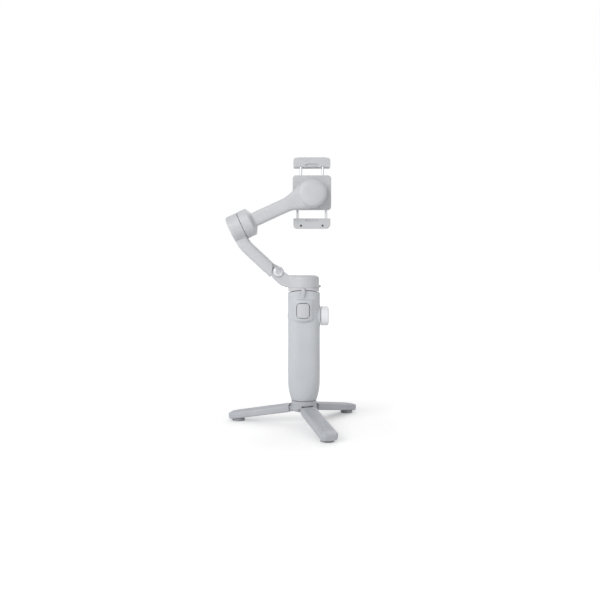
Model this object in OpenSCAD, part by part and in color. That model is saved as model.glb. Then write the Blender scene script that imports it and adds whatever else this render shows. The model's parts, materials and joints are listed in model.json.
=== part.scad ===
// Hand-held three-axis gimbal stabilizer for a phone, standing on its fold-out mini tripod.
// Origin: on the ground, on the handle's axis. +X is the knob side, +Y is the user's side
// with the thumb controls, -Y is the trigger side, +Z is up.

/* [Handle] */
// Width of the handle across the knob side
handle_w = 38.6; // [34:0.1:46]
// Depth of the handle from trigger side to thumb side
handle_d = 34; // [32:1:42]
// Corner radius of the handle's section
handle_corner = 13; // [12:0.5:14]
// Wall of the handle shells
handle_wall = 2.2; // [1.8:0.1:2.6]
// Height of the handle above the tripod hub
handle_len = 129.2; // [124:0.1:160]
// Radius of the long curve that narrows the handle towards its bottom
base_round = 104; // [80:1:140]
// Half width of the handle's form where that curve ends
base_half = 20.9; // [20.4:0.1:26]

/* [Tripod] */
// Height of the top of the tripod hub above the ground
hub_top = 28.8; // [28:0.1:32]
// Height of the tripod hub
hub_h = 12.8; // [12:0.1:14]
// Radius of the tripod hub
hub_r = 15; // [14:0.5:16]
// Distance from the handle's axis to each leg's hinge
leg_hinge_r = 11.5; // [11:0.1:12]
// Distance from the handle's axis to the middle of each round foot
foot_reach = 83; // [70:1:104]
// Width of a leg
leg_w = 20; // [18:0.5:20.5]
// Radius of the two corners at a leg's tip
leg_corner = 6; // [3:0.5:8]
// Thickness of a leg above its hinge line
leg_up = 5.3; // [5:0.1:6]
// Thickness of a leg below its hinge line
leg_down = 3.6; // [3.4:0.1:5]
// Slope of an open leg below horizontal
leg_slope = 9.6; // [8:0.1:11]
// Diameter of the hinge pins of the legs
leg_pin_d = 3; // [2.5:0.1:3.2]
// Diameter of the tripod screw
stud_d = 6.35; // [6.35, 9.525]

/* [Extension rod] */
// Outer diameter of the guide sleeve fixed in the handle
sleeve_d = 16; // [15.6:0.1:16.4]
// Wall of each tube of the rod
tube_wall = 1; // [0.8:0.1:1]
// Travel of the outer tube
outer_travel = 50; // [30:1:52]
// Travel of the inner tube
inner_travel = 50; // [30:1:52]

/* [Pan unit] */
// Radius of the pan housing
pan_r = 18.5; // [18:0.1:19.5]
// Height of the pan housing above its seam
pan_h = 15; // [13:0.1:16]
// Distance from the handle's axis to the fold pin
fold_x = 30.7; // [29:0.1:33]
// Height of the fold pin above the pan seam
fold_rise = 18.4; // [18:0.1:20]
// Diameter of the fold pin
fold_pin_d = 5; // [4:0.1:5.5]
// Diameter of the fold pin's round head
fold_head_d = 11.4; // [9:0.1:12]

/* [Arms] */
// Width of the lower arm seen from the side
arm_w = 15.3; // [14:0.1:17]
// Depth of the lower arm along the fold pin
arm_d = 17; // [15:0.5:19]
// Angle of the lower arm above the level, leaning away from the knob
arm_lean = 43; // [40:1:46]
// Angle of the tilt axis above the level
tilt_angle = 24.8; // [20:0.1:30]
// Distance from the fold pin to the middle of the tilt seam, along the level
tilt_dx = 43.1; // [42:0.1:46]
// Distance from the fold pin up to the middle of the tilt seam
tilt_dz = 55.9; // [54:0.1:60]
// Radius of the tilt motor housing
tilt_r = 16.8; // [16:0.1:18]
// Thickness of the tilt motor housing
tilt_h = 15.6; // [15:0.1:18]
// Distance from the tilt seam to the roll axis
upper_len = 92; // [90:1:112]
// Width of the upper arm
upper_w = 17; // [15:0.5:18]
// Depth of the upper arm
upper_d = 13; // [12:0.5:14]
// Radius of the roll motor housing
roll_r = 17.4; // [17:0.1:19]
// Thickness of the roll motor housing
roll_h = 17.7; // [17:0.1:20]

/* [Phone clamp] */
// Width of the clamp's plate
plate_w = 46.8; // [44:0.2:56]
// Height of the clamp's plate
plate_h = 42; // [40:0.1:46]
// Thickness of the clamp's plate
plate_t = 6; // [5.6:0.1:7]
// Width of the two jaws
jaw_w = 44.9; // [42:0.1:54]
// Gap between the two jaw pads at rest
phone_gap = 71.8; // [68:0.1:86]
// How far the clamp's middle sits above the roll axis
clamp_rise = 2; // [0:0.1:3]
// Thickness of phone that the jaws take
phone_t = 9.5; // [9:0.1:12]
// Diameter of the jaws' guide rods
rod_d = 3; // [2.4:0.1:3.2]

/* [Controls] */
// Width of the trigger
trigger_w = 14.8; // [13:0.1:17.5]
// Height of the trigger
trigger_h = 17; // [15:0.1:20]
// Diameter of the side knob
knob_d = 24.4; // [20:0.1:25]
// Length of the side knob
knob_len = 9.5; // [8:0.1:12]
// Diameter of the joystick's cap
stick_d = 13; // [10:0.1:13]

/* [Hidden] */
$fn = 64;
slide_gap = 0.4;      // around buttons and between housings that move
run_gap = 0.05;       // radial clearance of shafts, pins and tubes
seam = 0.25;          // half of the seam at each motor

// Tripod and handle heights
hub_low = hub_top - hub_h;
leg_pin_z = hub_top - 10;
leg_azimuths = [-72.5, 47.5, 167.5];
leg_names = ["front", "right", "left"];
leg_fork_w = 14.4;
leg_len = (foot_reach - leg_hinge_r) / cos(leg_slope);
leg_end = leg_len + 10;
tip_up = leg_up - 0.4;
tip_down = leg_down - 0.2;
leg_start = hub_r - leg_hinge_r + 1.6;
leg_taper = leg_len + leg_w - leg_start;
leg_down_slope = (leg_down - tip_down) / leg_taper;
handle_low = hub_top + 0.3;
handle_top = hub_top + handle_len;
crown_r = 79.6;       // the handle's top is a shallow arch along the depth
base_shift = base_round - base_half;
base_centre_z = handle_low + sqrt(pow(base_round, 2) - pow(hub_r + base_shift, 2));
flare_r = base_half + 8;    // above the narrowed part the form opens out past any section
pan_seam_z = handle_top + 5.2;

socket_h = 10;

// Controls
trigger_x = -1;
trigger_z = handle_top - 21.8;
hump_r = handle_d / 2 + 3.5;
hump_w = trigger_w + 11;
hump_low = trigger_z - trigger_h / 2 - 4.6;
hump_high = trigger_z + trigger_h / 2 + 6;
knob_z = handle_top - 28.6;
boss_x = handle_w / 2 + 0.4;
knob_shaft_d = 5;
panel_y = handle_d / 2 + 1.5;
panel_w = 21;
panel_high = handle_top - 6;
panel_low = handle_top - 66;
pod_margin = 1.6;
panel_t = 1.9;
stick_z = handle_top - 17;
record_z = handle_top - 36;
record_d = 9.6;
mode_z = handle_top - 50;
mode_d = 7.2;
power_z = handle_top - 29;
power_d = 8;
usb_z = handle_top - 54;
usb_size = [7, 9, 3.2];
board_y = sleeve_d / 2 + 0.9;
board_t = 1.2;
button_travel = 1;
stick_pivot_y = board_y + board_t + 2.9;

// Rod tubes
outer_d = sleeve_d - 2 * tube_wall - 2 * run_gap;
inner_d = outer_d - 2 * tube_wall - 2 * run_gap;
sleeve_low = handle_top - 71;
outer_low = sleeve_low + 2.5;
inner_low = outer_low + 2;

// Fold pin, tilt and roll centres
pin_z = pan_seam_z + fold_rise;
pin = [-fold_x, pin_z];
tilt_c = [-fold_x - tilt_dx, pin_z + tilt_dz];
tilt_dir = [cos(tilt_angle), sin(tilt_angle)];
tilt_up = [-sin(tilt_angle), cos(tilt_angle)];
roll_c = tilt_c + upper_len * tilt_dir;
clamp_c = roll_c + [0, clamp_rise];
ear_r = 7;
ear_t = 3.6;
tongue_t = arm_d - 2 * ear_t - 2 * slide_gap - 1;
stub_d = arm_d - 1;
arm_dir = [-cos(arm_lean), sin(arm_lean)];
arm_side = [sin(arm_lean), cos(arm_lean)];
arm_offset = arm_w / 2 - 4;             // the pin sits near the arm's inner edge
arm_near = pin - arm_offset * arm_side + (arm_w / 2 + 4.1) * arm_dir;
housing_mid = tilt_c - tilt_h / 2 * tilt_dir;
bend_t = (arm_near - housing_mid) * arm_side / (tilt_up * arm_side);
arm_bend = housing_mid + bend_t * tilt_up;
shell_wall = 2;

// Motors
motor_shaft_d = 5;
bearing_d = 10;
motor_floor = 1.8;                       // floor of a motor's cup
pan_bell_r = 13.6;
tilt_bell_r = 14;
roll_bell_r = 14.6;
pan_cup = pan_h - motor_floor;
tilt_cup = tilt_h - motor_floor;
roll_cup = roll_h - motor_floor;
rotor_t = 11;                            // length of the tilt rotor's cap
arm_y = 3.5 - upper_d / 2;               // the middle of the upper arm's depth
cavity_from = rotor_t + 8;
cavity_len = upper_len - roll_r - rotor_t - 10;

// Clamp
roll_front = 3.7;                        // seam between roll housing and clamp
roll_back = roll_front - roll_h;
rotor_plate_t = 4;
plate_y = roll_front + 2 * seam + rotor_plate_t;
phone_y = plate_y + plate_t + 0.4;
lip_y = phone_y + phone_t;
lip_t = 2.6;
jaw_back_y = plate_y + 0.8;
rod_y = plate_y + plate_t / 2;
pad_t = 1;
jaw_cap = 7.1;                           // from the pad's face to the jaw's outer edge
jaw_skirt = 4.6;                         // how far a jaw reaches over the phone's back
rod_depth = 26;
jaw_close = 6;
rod_inner_end = plate_h / 2 - rod_depth;
rod_outer_end = phone_gap / 2 + 4.5;
gap_low = clamp_c[1] - phone_gap / 2;
plate_low = clamp_c[1] - plate_h / 2;
upper_rod_x = 13.3;
lower_rod_x = 17.3;

// ---------- shared shapes ----------

// A rectangle with true round corners
module round_rect(w, d, r) {
    square([w - 2 * r, d], center = true);
    square([w, d - 2 * r], center = true);
    for (x = [-1, 1], y = [-1, 1])
        translate([x * (w / 2 - r), y * (d / 2 - r)]) circle(r);
}

// A flat bar with round ends from one point to another
module bar(from, to, w) {
    length = norm(to - from);
    translate(from) circle(w / 2);
    translate(to) circle(w / 2);
    translate(from) rotate(atan2(to[1] - from[1], to[0] - from[0]))
        translate([0, -w / 2]) square([length, w]);
}

// Stands an outline drawn in X and Z up as a plate between two depths
module upright(y_low, y_high) {
    translate([0, y_high, 0]) rotate([90, 0, 0]) linear_extrude(y_high - y_low) children();
}

// Cylinder along Y between two depths
module y_rod(x, z, d, y_low, y_high) {
    translate([x, y_low, z]) rotate([-90, 0, 0]) cylinder(d = d, h = y_high - y_low);
}

// Cylinder along X between two places
module x_rod(y, z, d, x_low, x_high) {
    translate([x_low, y, z]) rotate([0, 90, 0]) cylinder(d = d, h = x_high - x_low);
}

// Tube along Z
module tube(d_out, d_in, z_low, z_high) {
    translate([0, 0, z_low]) difference() {
        cylinder(d = d_out, h = z_high - z_low);
        translate([0, 0, -1]) cylinder(d = d_in, h = z_high - z_low + 2);
    }
}

// Frame with X along the tilt axis, from the seam towards the roll axis
module in_tilt() {
    translate([tilt_c[0], 0, tilt_c[1]]) rotate([0, -tilt_angle, 0]) children();
}

// Frame of a motor whose seam is at z = 0 and whose cup lies below it
module at_pan() { translate([0, 0, pan_seam_z]) rotate([180, 0, 0]) children(); }
module at_tilt() { in_tilt() rotate([0, 90, 0]) children(); }
module at_roll() {
    translate([roll_c[0], roll_front + seam, roll_c[1]]) rotate([-90, 0, 0]) children();
}

// ---------- motors ----------

// Coil ring that sits on the floor of a motor's cup
module motor_stator(cup_depth, bell_r) {
    color("peru") tube(2 * (bell_r - 2.3), bearing_d, -cup_depth, -2.6);
}

// Ball bearing in the middle of the coil ring
module motor_bearing(cup_depth) {
    color("silver") tube(bearing_d, motor_shaft_d + 2 * run_gap, -cup_depth, 4 - cup_depth);
}

// Magnet bell with its shaft, fixed to the part that turns
module motor_rotor(cup_depth, bell_r) {
    color("dimgray") {
        translate([0, 0, -2]) cylinder(r = bell_r, h = 2 + seam);
        tube(2 * bell_r, 2 * bell_r - 3.6, 0.6 - cup_depth, -1.9);
        translate([0, 0, 0.6 - cup_depth]) cylinder(d = motor_shaft_d, h = cup_depth - 1);
    }
}

// ---------- tripod ----------

module in_leg(k) {
    rotate([0, 0, leg_azimuths[k]]) translate([leg_hinge_r, 0, leg_pin_z])
        rotate([0, leg_slope, 0]) children();
}

module leg_profile() {
    polygon([[leg_start, -leg_down], [leg_start, leg_up], [leg_len + leg_w, tip_up],
        [leg_len + leg_w, -tip_down]]);
}

module leg(k) {
    knuckle_w = leg_fork_w - 2 * slide_gap;
    hollow_from = leg_start + 8;
    hollow_to = leg_len - 12;
    groove_from = leg_start + 6;
    groove_slope = (leg_up - tip_up) / leg_taper;
    groove_floor = leg_up - 0.5 - groove_slope * (groove_from - leg_start);
    color([0.73, 0.74, 0.76]) in_leg(k) difference() {
        union() {
            intersection() {
                translate([0, 0, -leg_down]) linear_extrude(leg_down + leg_up) {
                    translate([0, -leg_w / 2]) square([leg_end - leg_corner, leg_w]);
                    translate([0, leg_corner - leg_w / 2]) square([leg_end, leg_w - 2 * leg_corner]);
                    for (side = [-1, 1])
                        translate([leg_end - leg_corner, side * (leg_w / 2 - leg_corner)])
                            circle(leg_corner);
                }
                translate([0, leg_w / 2 + 1, 0]) rotate([90, 0, 0])
                    linear_extrude(leg_w + 2) leg_profile();
            }
            translate([0, knuckle_w / 2, 0]) rotate([90, 0, 0]) cylinder(r = leg_down - 0.5, h = knuckle_w);
            translate([0, -knuckle_w / 2, 0.5 - leg_down])
                cube([leg_start + 1, knuckle_w, 2 * leg_down - 1]);
        }
        translate([0, leg_w, 0]) rotate([90, 0, 0])
            cylinder(d = leg_pin_d + 2 * run_gap, h = 2 * leg_w);
        translate([hollow_from, -leg_w / 2 + 2.5, -leg_down - 1])
            cube([hollow_to - hollow_from, leg_w - 5, leg_down + 1.5]);
        for (row = [-2 : 2])
            translate([groove_from, row * 2.8 - 0.4, groove_floor])
                rotate([0, atan(groove_slope), 0]) cube([leg_len - groove_from, 0.8, 3]);
    }
}

module foot(k) {
    color([0.45, 0.46, 0.48]) difference() {
        in_leg(k) intersection() {
            translate([leg_len, 0, -tip_down - 8]) cylinder(d = leg_w - 5, h = 9);
            translate([leg_len - leg_w, leg_w / 2, 0]) rotate([90, 0, 0]) linear_extrude(leg_w)
                polygon([[0, -30], [0, foot_seat(-leg_w)], [2 * leg_w, foot_seat(leg_w)],
                    [2 * leg_w, -30]]);
        }
        translate([-200, -200, -60]) cube([400, 400, 60]);
    }
}

// Height of a leg's underside at a place along it, measured from the tip's middle
function foot_seat(along) = -leg_down + (leg_len + along - leg_start) * leg_down_slope;

module tripod_hub() {
    color([0.7, 0.71, 0.73]) difference() {
        translate([0, 0, hub_low]) cylinder(r = hub_r, h = hub_h);
        for (azimuth = leg_azimuths) rotate([0, 0, azimuth]) {
            translate([leg_hinge_r - leg_down, -leg_fork_w / 2, hub_low - 1])
                cube([hub_r, leg_fork_w, hub_h + 2]);
            translate([leg_hinge_r, hub_r, leg_pin_z]) rotate([90, 0, 0])
                cylinder(d = leg_pin_d, h = 2 * hub_r);
        }
        translate([0, 0, hub_low - 1]) cylinder(d = stud_d, h = hub_h + 2);
    }
}

module leg_pins() {
    pin_len = 2 * sqrt(pow(hub_r, 2) - pow(leg_hinge_r + leg_pin_d / 2, 2)) - 0.6;
    color("silver") for (azimuth = leg_azimuths) rotate([0, 0, azimuth])
        translate([leg_hinge_r, pin_len / 2, leg_pin_z]) rotate([90, 0, 0])
            cylinder(d = leg_pin_d, h = pin_len);
}

module tripod_stud() {
    color("silver") translate([0, 0, hub_low + 1]) cylinder(d = stud_d, h = hub_h + 8);
}

// ---------- handle ----------

// The handle's outer form, or the same form drawn in by a wall
module handle_form(inset) {
    intersection() {
        translate([0, 0, handle_low + inset]) linear_extrude(handle_len + 10)
            round_rect(handle_w - 2 * inset, handle_d - 2 * inset, handle_corner - inset);
        translate([0, 0, base_centre_z]) rotate_extrude() intersection() {
            union() {
                translate([-base_shift, 0]) circle(base_round - inset);
                polygon([[0, 0], [base_half - inset, 0], [flare_r - inset, flare_r - base_half],
                    [flare_r - inset, 2 * handle_len], [0, 2 * handle_len]]);
            }
            translate([0, -handle_len / 2]) square([flare_r + 1, 3 * handle_len]);
        }
        y_rod(0, handle_top - crown_r, 2 * (crown_r - inset), -handle_d, handle_d);
    }
}

module trigger_outline(grow) {
    translate([trigger_x, trigger_z])
        round_rect(trigger_w + 2 * grow, trigger_h + 2 * grow, 4.5 + grow);
}

// Both shells together, before they are split
module handle_shell_body() {
    difference() {
        union() {
            handle_form(0);
            intersection() {
                cylinder(r = hump_r, h = handle_top + 20);
                translate([-hump_w / 2 + trigger_x, -hump_r - 1, hump_low])
                    cube([hump_w, hump_r - 2, hump_high - hump_low]);
            }
            x_rod(0, knob_z, knob_d + 0.8, 6, boss_x);
            translate([-panel_w / 2 - pod_margin, 6, panel_low - pod_margin])
                cube([panel_w + 2 * pod_margin, panel_y - 6,
                    panel_high - panel_low + 2 * pod_margin]);
        }
        handle_form(handle_wall);
        translate([0, 0, handle_top - 10]) cylinder(d = sleeve_d + 2 * run_gap, h = 20);
        translate([0, 0, hub_top]) cylinder(d = 18, h = 2 * handle_wall + 4);
        upright(-hump_r - 1, -handle_d / 2 + handle_wall + 3) trigger_outline(slide_gap);
        x_rod(0, knob_z, knob_shaft_d + 2 * run_gap, 5, boss_x + 1);
        x_rod(0, power_z, power_d + 2 * slide_gap, -handle_w, -8);
        translate([-handle_w / 2 - 1, -usb_size[1] / 2, usb_z - usb_size[2] / 2])
            cube([usb_size[0] + 1, usb_size[1], usb_size[2]]);
        translate([-panel_w / 2, panel_y - panel_t + 0.4, panel_low])
            cube([panel_w, panel_t, panel_high - panel_low]);
        control_holes(0.8);
        y_rod(0, handle_top - 4, 4.4 + 2 * slide_gap, -handle_d, -sleeve_d / 2);
    }
}

module control_holes(grow) {
    y_rod(0, stick_z, 10 + grow, 8, panel_y + 1);
    y_rod(0, record_z, record_d + 2 * slide_gap, 8, panel_y + 1);
    y_rod(0, mode_z, mode_d + 2 * slide_gap, 8, panel_y + 1);
}

module handle_front_shell() {
    color([0.77, 0.78, 0.8]) intersection() {
        handle_shell_body();
        translate([-50, -100, 0]) cube([100, 100, 400]);
    }
}

module handle_rear_shell() {
    color([0.77, 0.78, 0.8]) intersection() {
        handle_shell_body();
        translate([-50, 0, 0]) cube([100, 100, 400]);
    }
}

module handle_base_cap() {
    color([0.7, 0.71, 0.73]) difference() {
        translate([0, 0, handle_low]) cylinder(d = 17.8, h = 3.4);
        translate([0, 0, hub_top]) cylinder(d = 11, h = 10);
    }
}

module tripod_socket() {
    color("silver") difference() {
        translate([0, 0, handle_low]) cylinder(d = 11, h = socket_h);
        translate([0, 0, hub_top]) cylinder(d = stud_d + 2 * run_gap, h = socket_h - 1);
    }
}

module battery_cell() {
    color([0.25, 0.45, 0.35]) translate([0, 0, handle_low + socket_h + 0.3])
        cylinder(d = 18.4, h = 46.5);
}

module main_board() {
    color([0.1, 0.35, 0.2]) translate([-12, board_y, panel_low])
        cube([24, board_t, panel_high - panel_low]);
}

module usb_port() {
    color("silver") translate([-handle_w / 2 + 0.4, -usb_size[1] / 2, usb_z - usb_size[2] / 2])
        difference() {
            cube([usb_size[0] - 0.5, usb_size[1], usb_size[2]]);
            translate([-1, 0.4, 0.4])
                cube([usb_size[0] - 1.5, usb_size[1] - 0.8, usb_size[2] - 0.8]);
        }
}

module control_panel() {
    color([0.2, 0.2, 0.21]) difference() {
        translate([-panel_w / 2, panel_y - panel_t + 0.4, panel_low])
            cube([panel_w, panel_t, panel_high - panel_low]);
        control_holes(0);
        light_places(2.2, 2.5);
    }
}

module light_places(d, depth) {
    for (row = [0 : 3])
        y_rod(0, panel_low + 3 + row * 2.7, d, panel_y + 0.4 - depth, panel_y + 0.4);
}

module status_lights() {
    color("white") intersection() {
        light_places(2.2, panel_t);
        translate([-50, panel_y - panel_t + 0.4, 0]) cube([100, panel_t, 400]);
    }
}

module rod_guide_sleeve() {
    color("silver") tube(sleeve_d, sleeve_d - 2 * tube_wall, sleeve_low, handle_top - 0.6);
}

module trigger_button() {
    back = -handle_d / 2 + handle_wall;
    color([0.83, 0.83, 0.85]) {
        intersection() {
            cylinder(r = hump_r + 0.8, h = handle_top + 20);
            upright(-hump_r - 2, back + 0.8) trigger_outline(0);
        }
        upright(back + 0.3, back + 1.6) trigger_outline(0);
    }
}

module trigger_switch() {
    color("black") translate([trigger_x - 3, -sleeve_d / 2 - 2.7, trigger_z - 3])
        cube([6, 2.7, 6]);
}

module focus_knob() {
    color([0.84, 0.85, 0.88]) {
        difference() {
            x_rod(0, knob_z, knob_d, boss_x + 0.6, boss_x + 0.6 + knob_len);
            translate([boss_x + 0.6 + knob_len - 0.6, 0, knob_z]) rotate([0, 90, 0])
                tube(knob_d - 5, knob_d - 6.4, 0, 2);
        }
        x_rod(0, knob_z, knob_shaft_d, sleeve_d / 2 + 2.2, boss_x + 1);
    }
}

module knob_encoder() {
    color("dimgray") difference() {
        x_rod(0, knob_z, 11, sleeve_d / 2 + 0.8, handle_w / 2 - handle_wall - 0.2);
        x_rod(0, knob_z, knob_shaft_d + 2 * run_gap, sleeve_d / 2 + 1.6, handle_w);
    }
}

module joystick_base() {
    color("black") translate([-5, board_y + board_t, stick_z - 5]) cube([10, 1.2, 10]);
}

module joystick_ring() {
    color("dimgray") difference() {
        y_rod(0, stick_z, 7.4, stick_pivot_y - 1, stick_pivot_y + 1);
        y_rod(0, stick_z, 5.2, stick_pivot_y - 2, stick_pivot_y + 2);
    }
}

module joystick_cap() {
    rim_y = panel_y + 2.7;
    color([0.3, 0.3, 0.31]) {
        y_rod(0, stick_z, 4.4, stick_pivot_y - 1, rim_y + 0.5);
        difference() {
            y_rod(0, stick_z, stick_d, rim_y, rim_y + 3.2);
            translate([0, rim_y + 3.2 + 14.2, stick_z]) sphere(r = 15);
        }
    }
}

module record_button() {
    color([0.8, 0.2, 0.2])
        y_rod(0, record_z, record_d, board_y + board_t + 1.8, panel_y + 1.6);
}

module mode_button() {
    color([0.35, 0.35, 0.36])
        y_rod(0, mode_z, mode_d, board_y + board_t + 1.8, panel_y + 1.6);
}

module power_button() {
    color([0.84, 0.85, 0.88])
        x_rod(0, power_z, power_d, -handle_w / 2 - 0.8, -sleeve_d / 2 - 2);
}

// ---------- extension rod ----------

module rod_outer_tube() {
    color("silver") tube(outer_d, outer_d - 2 * tube_wall, outer_low, handle_top - 0.4);
}

module rod_inner_tube() {
    color("silver") tube(inner_d, inner_d - 2 * tube_wall, inner_low, pan_seam_z - 2.2);
}

module rod_head_collar() {
    collar_high = pan_seam_z - seam;
    color([0.76, 0.77, 0.79]) {
        difference() {
            translate([0, 0, handle_top - 5])
                cylinder(r = pan_r - 0.1, h = collar_high - handle_top + 5);
            y_rod(0, handle_top - crown_r, 2 * (crown_r + 0.9), -40, 40);
            translate([0, 0, handle_top - 6])
                cylinder(d = inner_d + 2 * run_gap, h = pan_seam_z - handle_top + 3.8);
        }
        front_key();
    }
}

// Key at the front of the collar that hangs over the seam below it
module front_key() {
    key_high = pan_seam_z - seam;
    translate([trigger_x + 0.2, -pan_r - 2, 0]) {
        translate([-2.1, 0, handle_top + 2]) cube([4.2, 3.6, key_high - handle_top - 2]);
        translate([0, 1.3, handle_top - 2.5]) cylinder(r = 1.3, h = 6);
    }
}

// ---------- pan unit ----------

module pan_motor_rotor() { at_pan() motor_rotor(pan_cup, pan_bell_r); }
module pan_motor_stator() { at_pan() motor_stator(pan_cup, pan_bell_r); }
module pan_bearing() { at_pan() motor_bearing(pan_cup); }

module stub_outline() {
    low = pan_seam_z + 0.6;
    translate(pin) circle(ear_r);
    polygon([[-9, pan_seam_z + pan_h - 0.2], pin + [6.3, 0.6], pin, pin + [-6.7, -0.8],
        pin + [-8.9, -4.7], pin + [-3.9, -9.7], pin + [3.5, -16], [-pan_r, low], [-9, low]]);
}

module pan_housing() {
    round_edge = 5;
    wall = 2.8;
    color([0.82, 0.82, 0.84]) difference() {
        union() {
            translate([0, 0, pan_seam_z + seam]) rotate_extrude() {
                square([pan_r, pan_h - seam - round_edge]);
                square([pan_r - round_edge, pan_h - seam]);
                intersection() {
                    translate([pan_r - round_edge, pan_h - seam - round_edge]) circle(round_edge);
                    square([pan_r, pan_h]);
                }
            }
            upright(-stub_d / 2, stub_d / 2) stub_outline();
            translate([pan_r - 1, -2, pan_seam_z + seam]) cube([3, 4, 2.8]);
        }
        translate([0, 0, pan_seam_z - 1]) cylinder(r = pan_r - wall, h = pan_cup + 1);
        upright(-tongue_t / 2 - slide_gap, tongue_t / 2 + slide_gap) {
            translate(pin) circle(ear_r + 0.4);
            translate(pin + [-20, 0]) square([20 + ear_r + 0.4, 20]);
            translate(pin + [-20, -7]) square([20, 20]);
        }
        y_rod(pin[0], pin[1], fold_pin_d + 2 * run_gap, -arm_d, arm_d);
    }
}

module fold_pin() {
    head_t = 2.2;
    color("silver") difference() {
        union() {
            y_rod(pin[0], pin[1], fold_pin_d, -stub_d / 2 - 0.5, stub_d / 2 + 1.6);
            y_rod(pin[0], pin[1], fold_head_d, -stub_d / 2 - head_t, -stub_d / 2);
        }
        translate([pin[0], -stub_d / 2 - head_t + 1.2, pin[1]]) rotate([90, 0, 0])
            cylinder(d = 4, h = 3, $fn = 6);
    }
}

module fold_pin_nut() {
    color("silver") difference() {
        y_rod(pin[0], pin[1], fold_head_d - 1.4, stub_d / 2, stub_d / 2 + 1.8);
        y_rod(pin[0], pin[1], fold_pin_d, stub_d / 2 - 1, stub_d / 2 + 1.6);
    }
}

// ---------- lower arm ----------

module lower_arm_outline(inset) {
    difference() {
        union() {
            bar(arm_near, arm_bend, arm_w - 2 * inset);
            bar(arm_bend, housing_mid, arm_w - 2 * inset);
        }
        translate(pin) circle(ear_r + 0.4 + inset);
        translate(pin) rotate(-arm_lean) translate([-1.5, -20]) square([20, 24]);
    }
}

module lower_arm_shell() {
    color([0.82, 0.82, 0.84]) difference() {
        union() {
            upright(-arm_d / 2, arm_d / 2) lower_arm_outline(0);
            upright(-tongue_t / 2, tongue_t / 2) {
                translate(pin) circle(ear_r - 0.5);
                bar(pin, arm_near, 2 * (ear_r - 0.5));
            }
            at_tilt() translate([0, 0, -tilt_h]) cylinder(r = tilt_r, h = tilt_h - seam);
        }
        difference() {
            upright(-arm_d / 2 + shell_wall, arm_d / 2 + 1) lower_arm_outline(shell_wall);
            at_tilt() translate([0, 0, -tilt_h - 1]) cylinder(r = tilt_r + 1, h = tilt_h + 2);
            upright(-tongue_t / 2 - 5, tongue_t / 2) translate(pin) circle(ear_r + 8);
        }
        at_tilt() translate([0, 0, -tilt_cup]) cylinder(r = tilt_r - 2, h = tilt_h);
        y_rod(pin[0], pin[1], fold_pin_d + 2 * run_gap, -arm_d, arm_d);
    }
}

module lower_arm_cover() {
    color([0.78, 0.79, 0.81]) difference() {
        upright(arm_d / 2 - 1.5, arm_d / 2) lower_arm_outline(shell_wall);
        at_tilt() translate([0, 0, -tilt_h - 1]) cylinder(r = tilt_r + 1, h = tilt_h + 2);
    }
}

module tilt_motor_stator() { at_tilt() motor_stator(tilt_cup, tilt_bell_r); }
module tilt_bearing() { at_tilt() motor_bearing(tilt_cup); }
module tilt_motor_rotor() { at_tilt() motor_rotor(tilt_cup, tilt_bell_r); }

// ---------- upper arm ----------

module upper_arm_outline(inset) {
    half = upper_w / 2 - inset;
    neck = 13;
    polygon([[neck, half + 1], [22, half], [upper_len - 32, half], [upper_len - 22, half + 1.4],
        [upper_len - 11, half + 7], [upper_len - 5, roll_r - inset - 1],
        [upper_len, roll_r - inset - 1], [upper_len, 1 + inset - roll_r],
        [upper_len - 5, 1 + inset - roll_r],
        [upper_len - 12, -half - 4.5], [upper_len - 22, -half - 0.9], [upper_len - 32, -half],
        [22, -half], [neck, -half - 1]]);
}

module upper_arm_shell() {
    color([0.81, 0.82, 0.84]) difference() {
        union() {
            in_tilt() upright(arm_y - upper_d / 2, arm_y + upper_d / 2) upper_arm_outline(0);
            at_tilt() translate([0, 0, seam]) cylinder(r = tilt_r + 0.2, h = rotor_t - seam);
            at_tilt() translate([0, 0, rotor_t]) cylinder(r1 = tilt_r + 0.2, r2 = upper_w / 2 + 1, h = 5);
            at_roll() translate([0, 0, -roll_h]) cylinder(r = roll_r, h = roll_h - seam);
        }
        difference() {
            in_tilt() upright(arm_y - upper_d / 2 + shell_wall, arm_y + upper_d / 2 + 1)
                intersection() {
                    upper_arm_outline(shell_wall);
                    translate([cavity_from, -50]) square([cavity_len, 100]);
                }
            at_roll() translate([0, 0, -roll_h - 1]) cylinder(r = roll_r + 0.5, h = roll_h + 9);
        }
        at_roll() translate([0, 0, -roll_cup]) cylinder(r = roll_r - 2, h = roll_h);
    }
}

module upper_arm_cover() {
    color([0.78, 0.79, 0.81]) difference() {
        in_tilt() upright(arm_y + upper_d / 2 - 1.5, arm_y + upper_d / 2)
            intersection() {
                upper_arm_outline(shell_wall);
                translate([cavity_from, -50]) square([cavity_len, 100]);
            }
        at_roll() translate([0, 0, -roll_h - 1]) cylinder(r = roll_r + 0.5, h = roll_h + 9);
    }
}

module roll_motor_stator() { at_roll() motor_stator(roll_cup, roll_bell_r); }
module roll_bearing() { at_roll() motor_bearing(roll_cup); }
module roll_motor_rotor() { at_roll() motor_rotor(roll_cup, roll_bell_r); }

// ---------- phone clamp ----------

// One pair of guide rods; way is 1 for the upper jaw and -1 for the lower one
module rod_pair(way, half_x, grow, inner, outer) {
    low = way > 0 ? inner : -outer;
    for (side = [-1, 1])
        translate([clamp_c[0] + side * half_x, rod_y, clamp_c[1] + low])
            cylinder(d = rod_d + 2 * grow, h = outer - inner);
}

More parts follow.
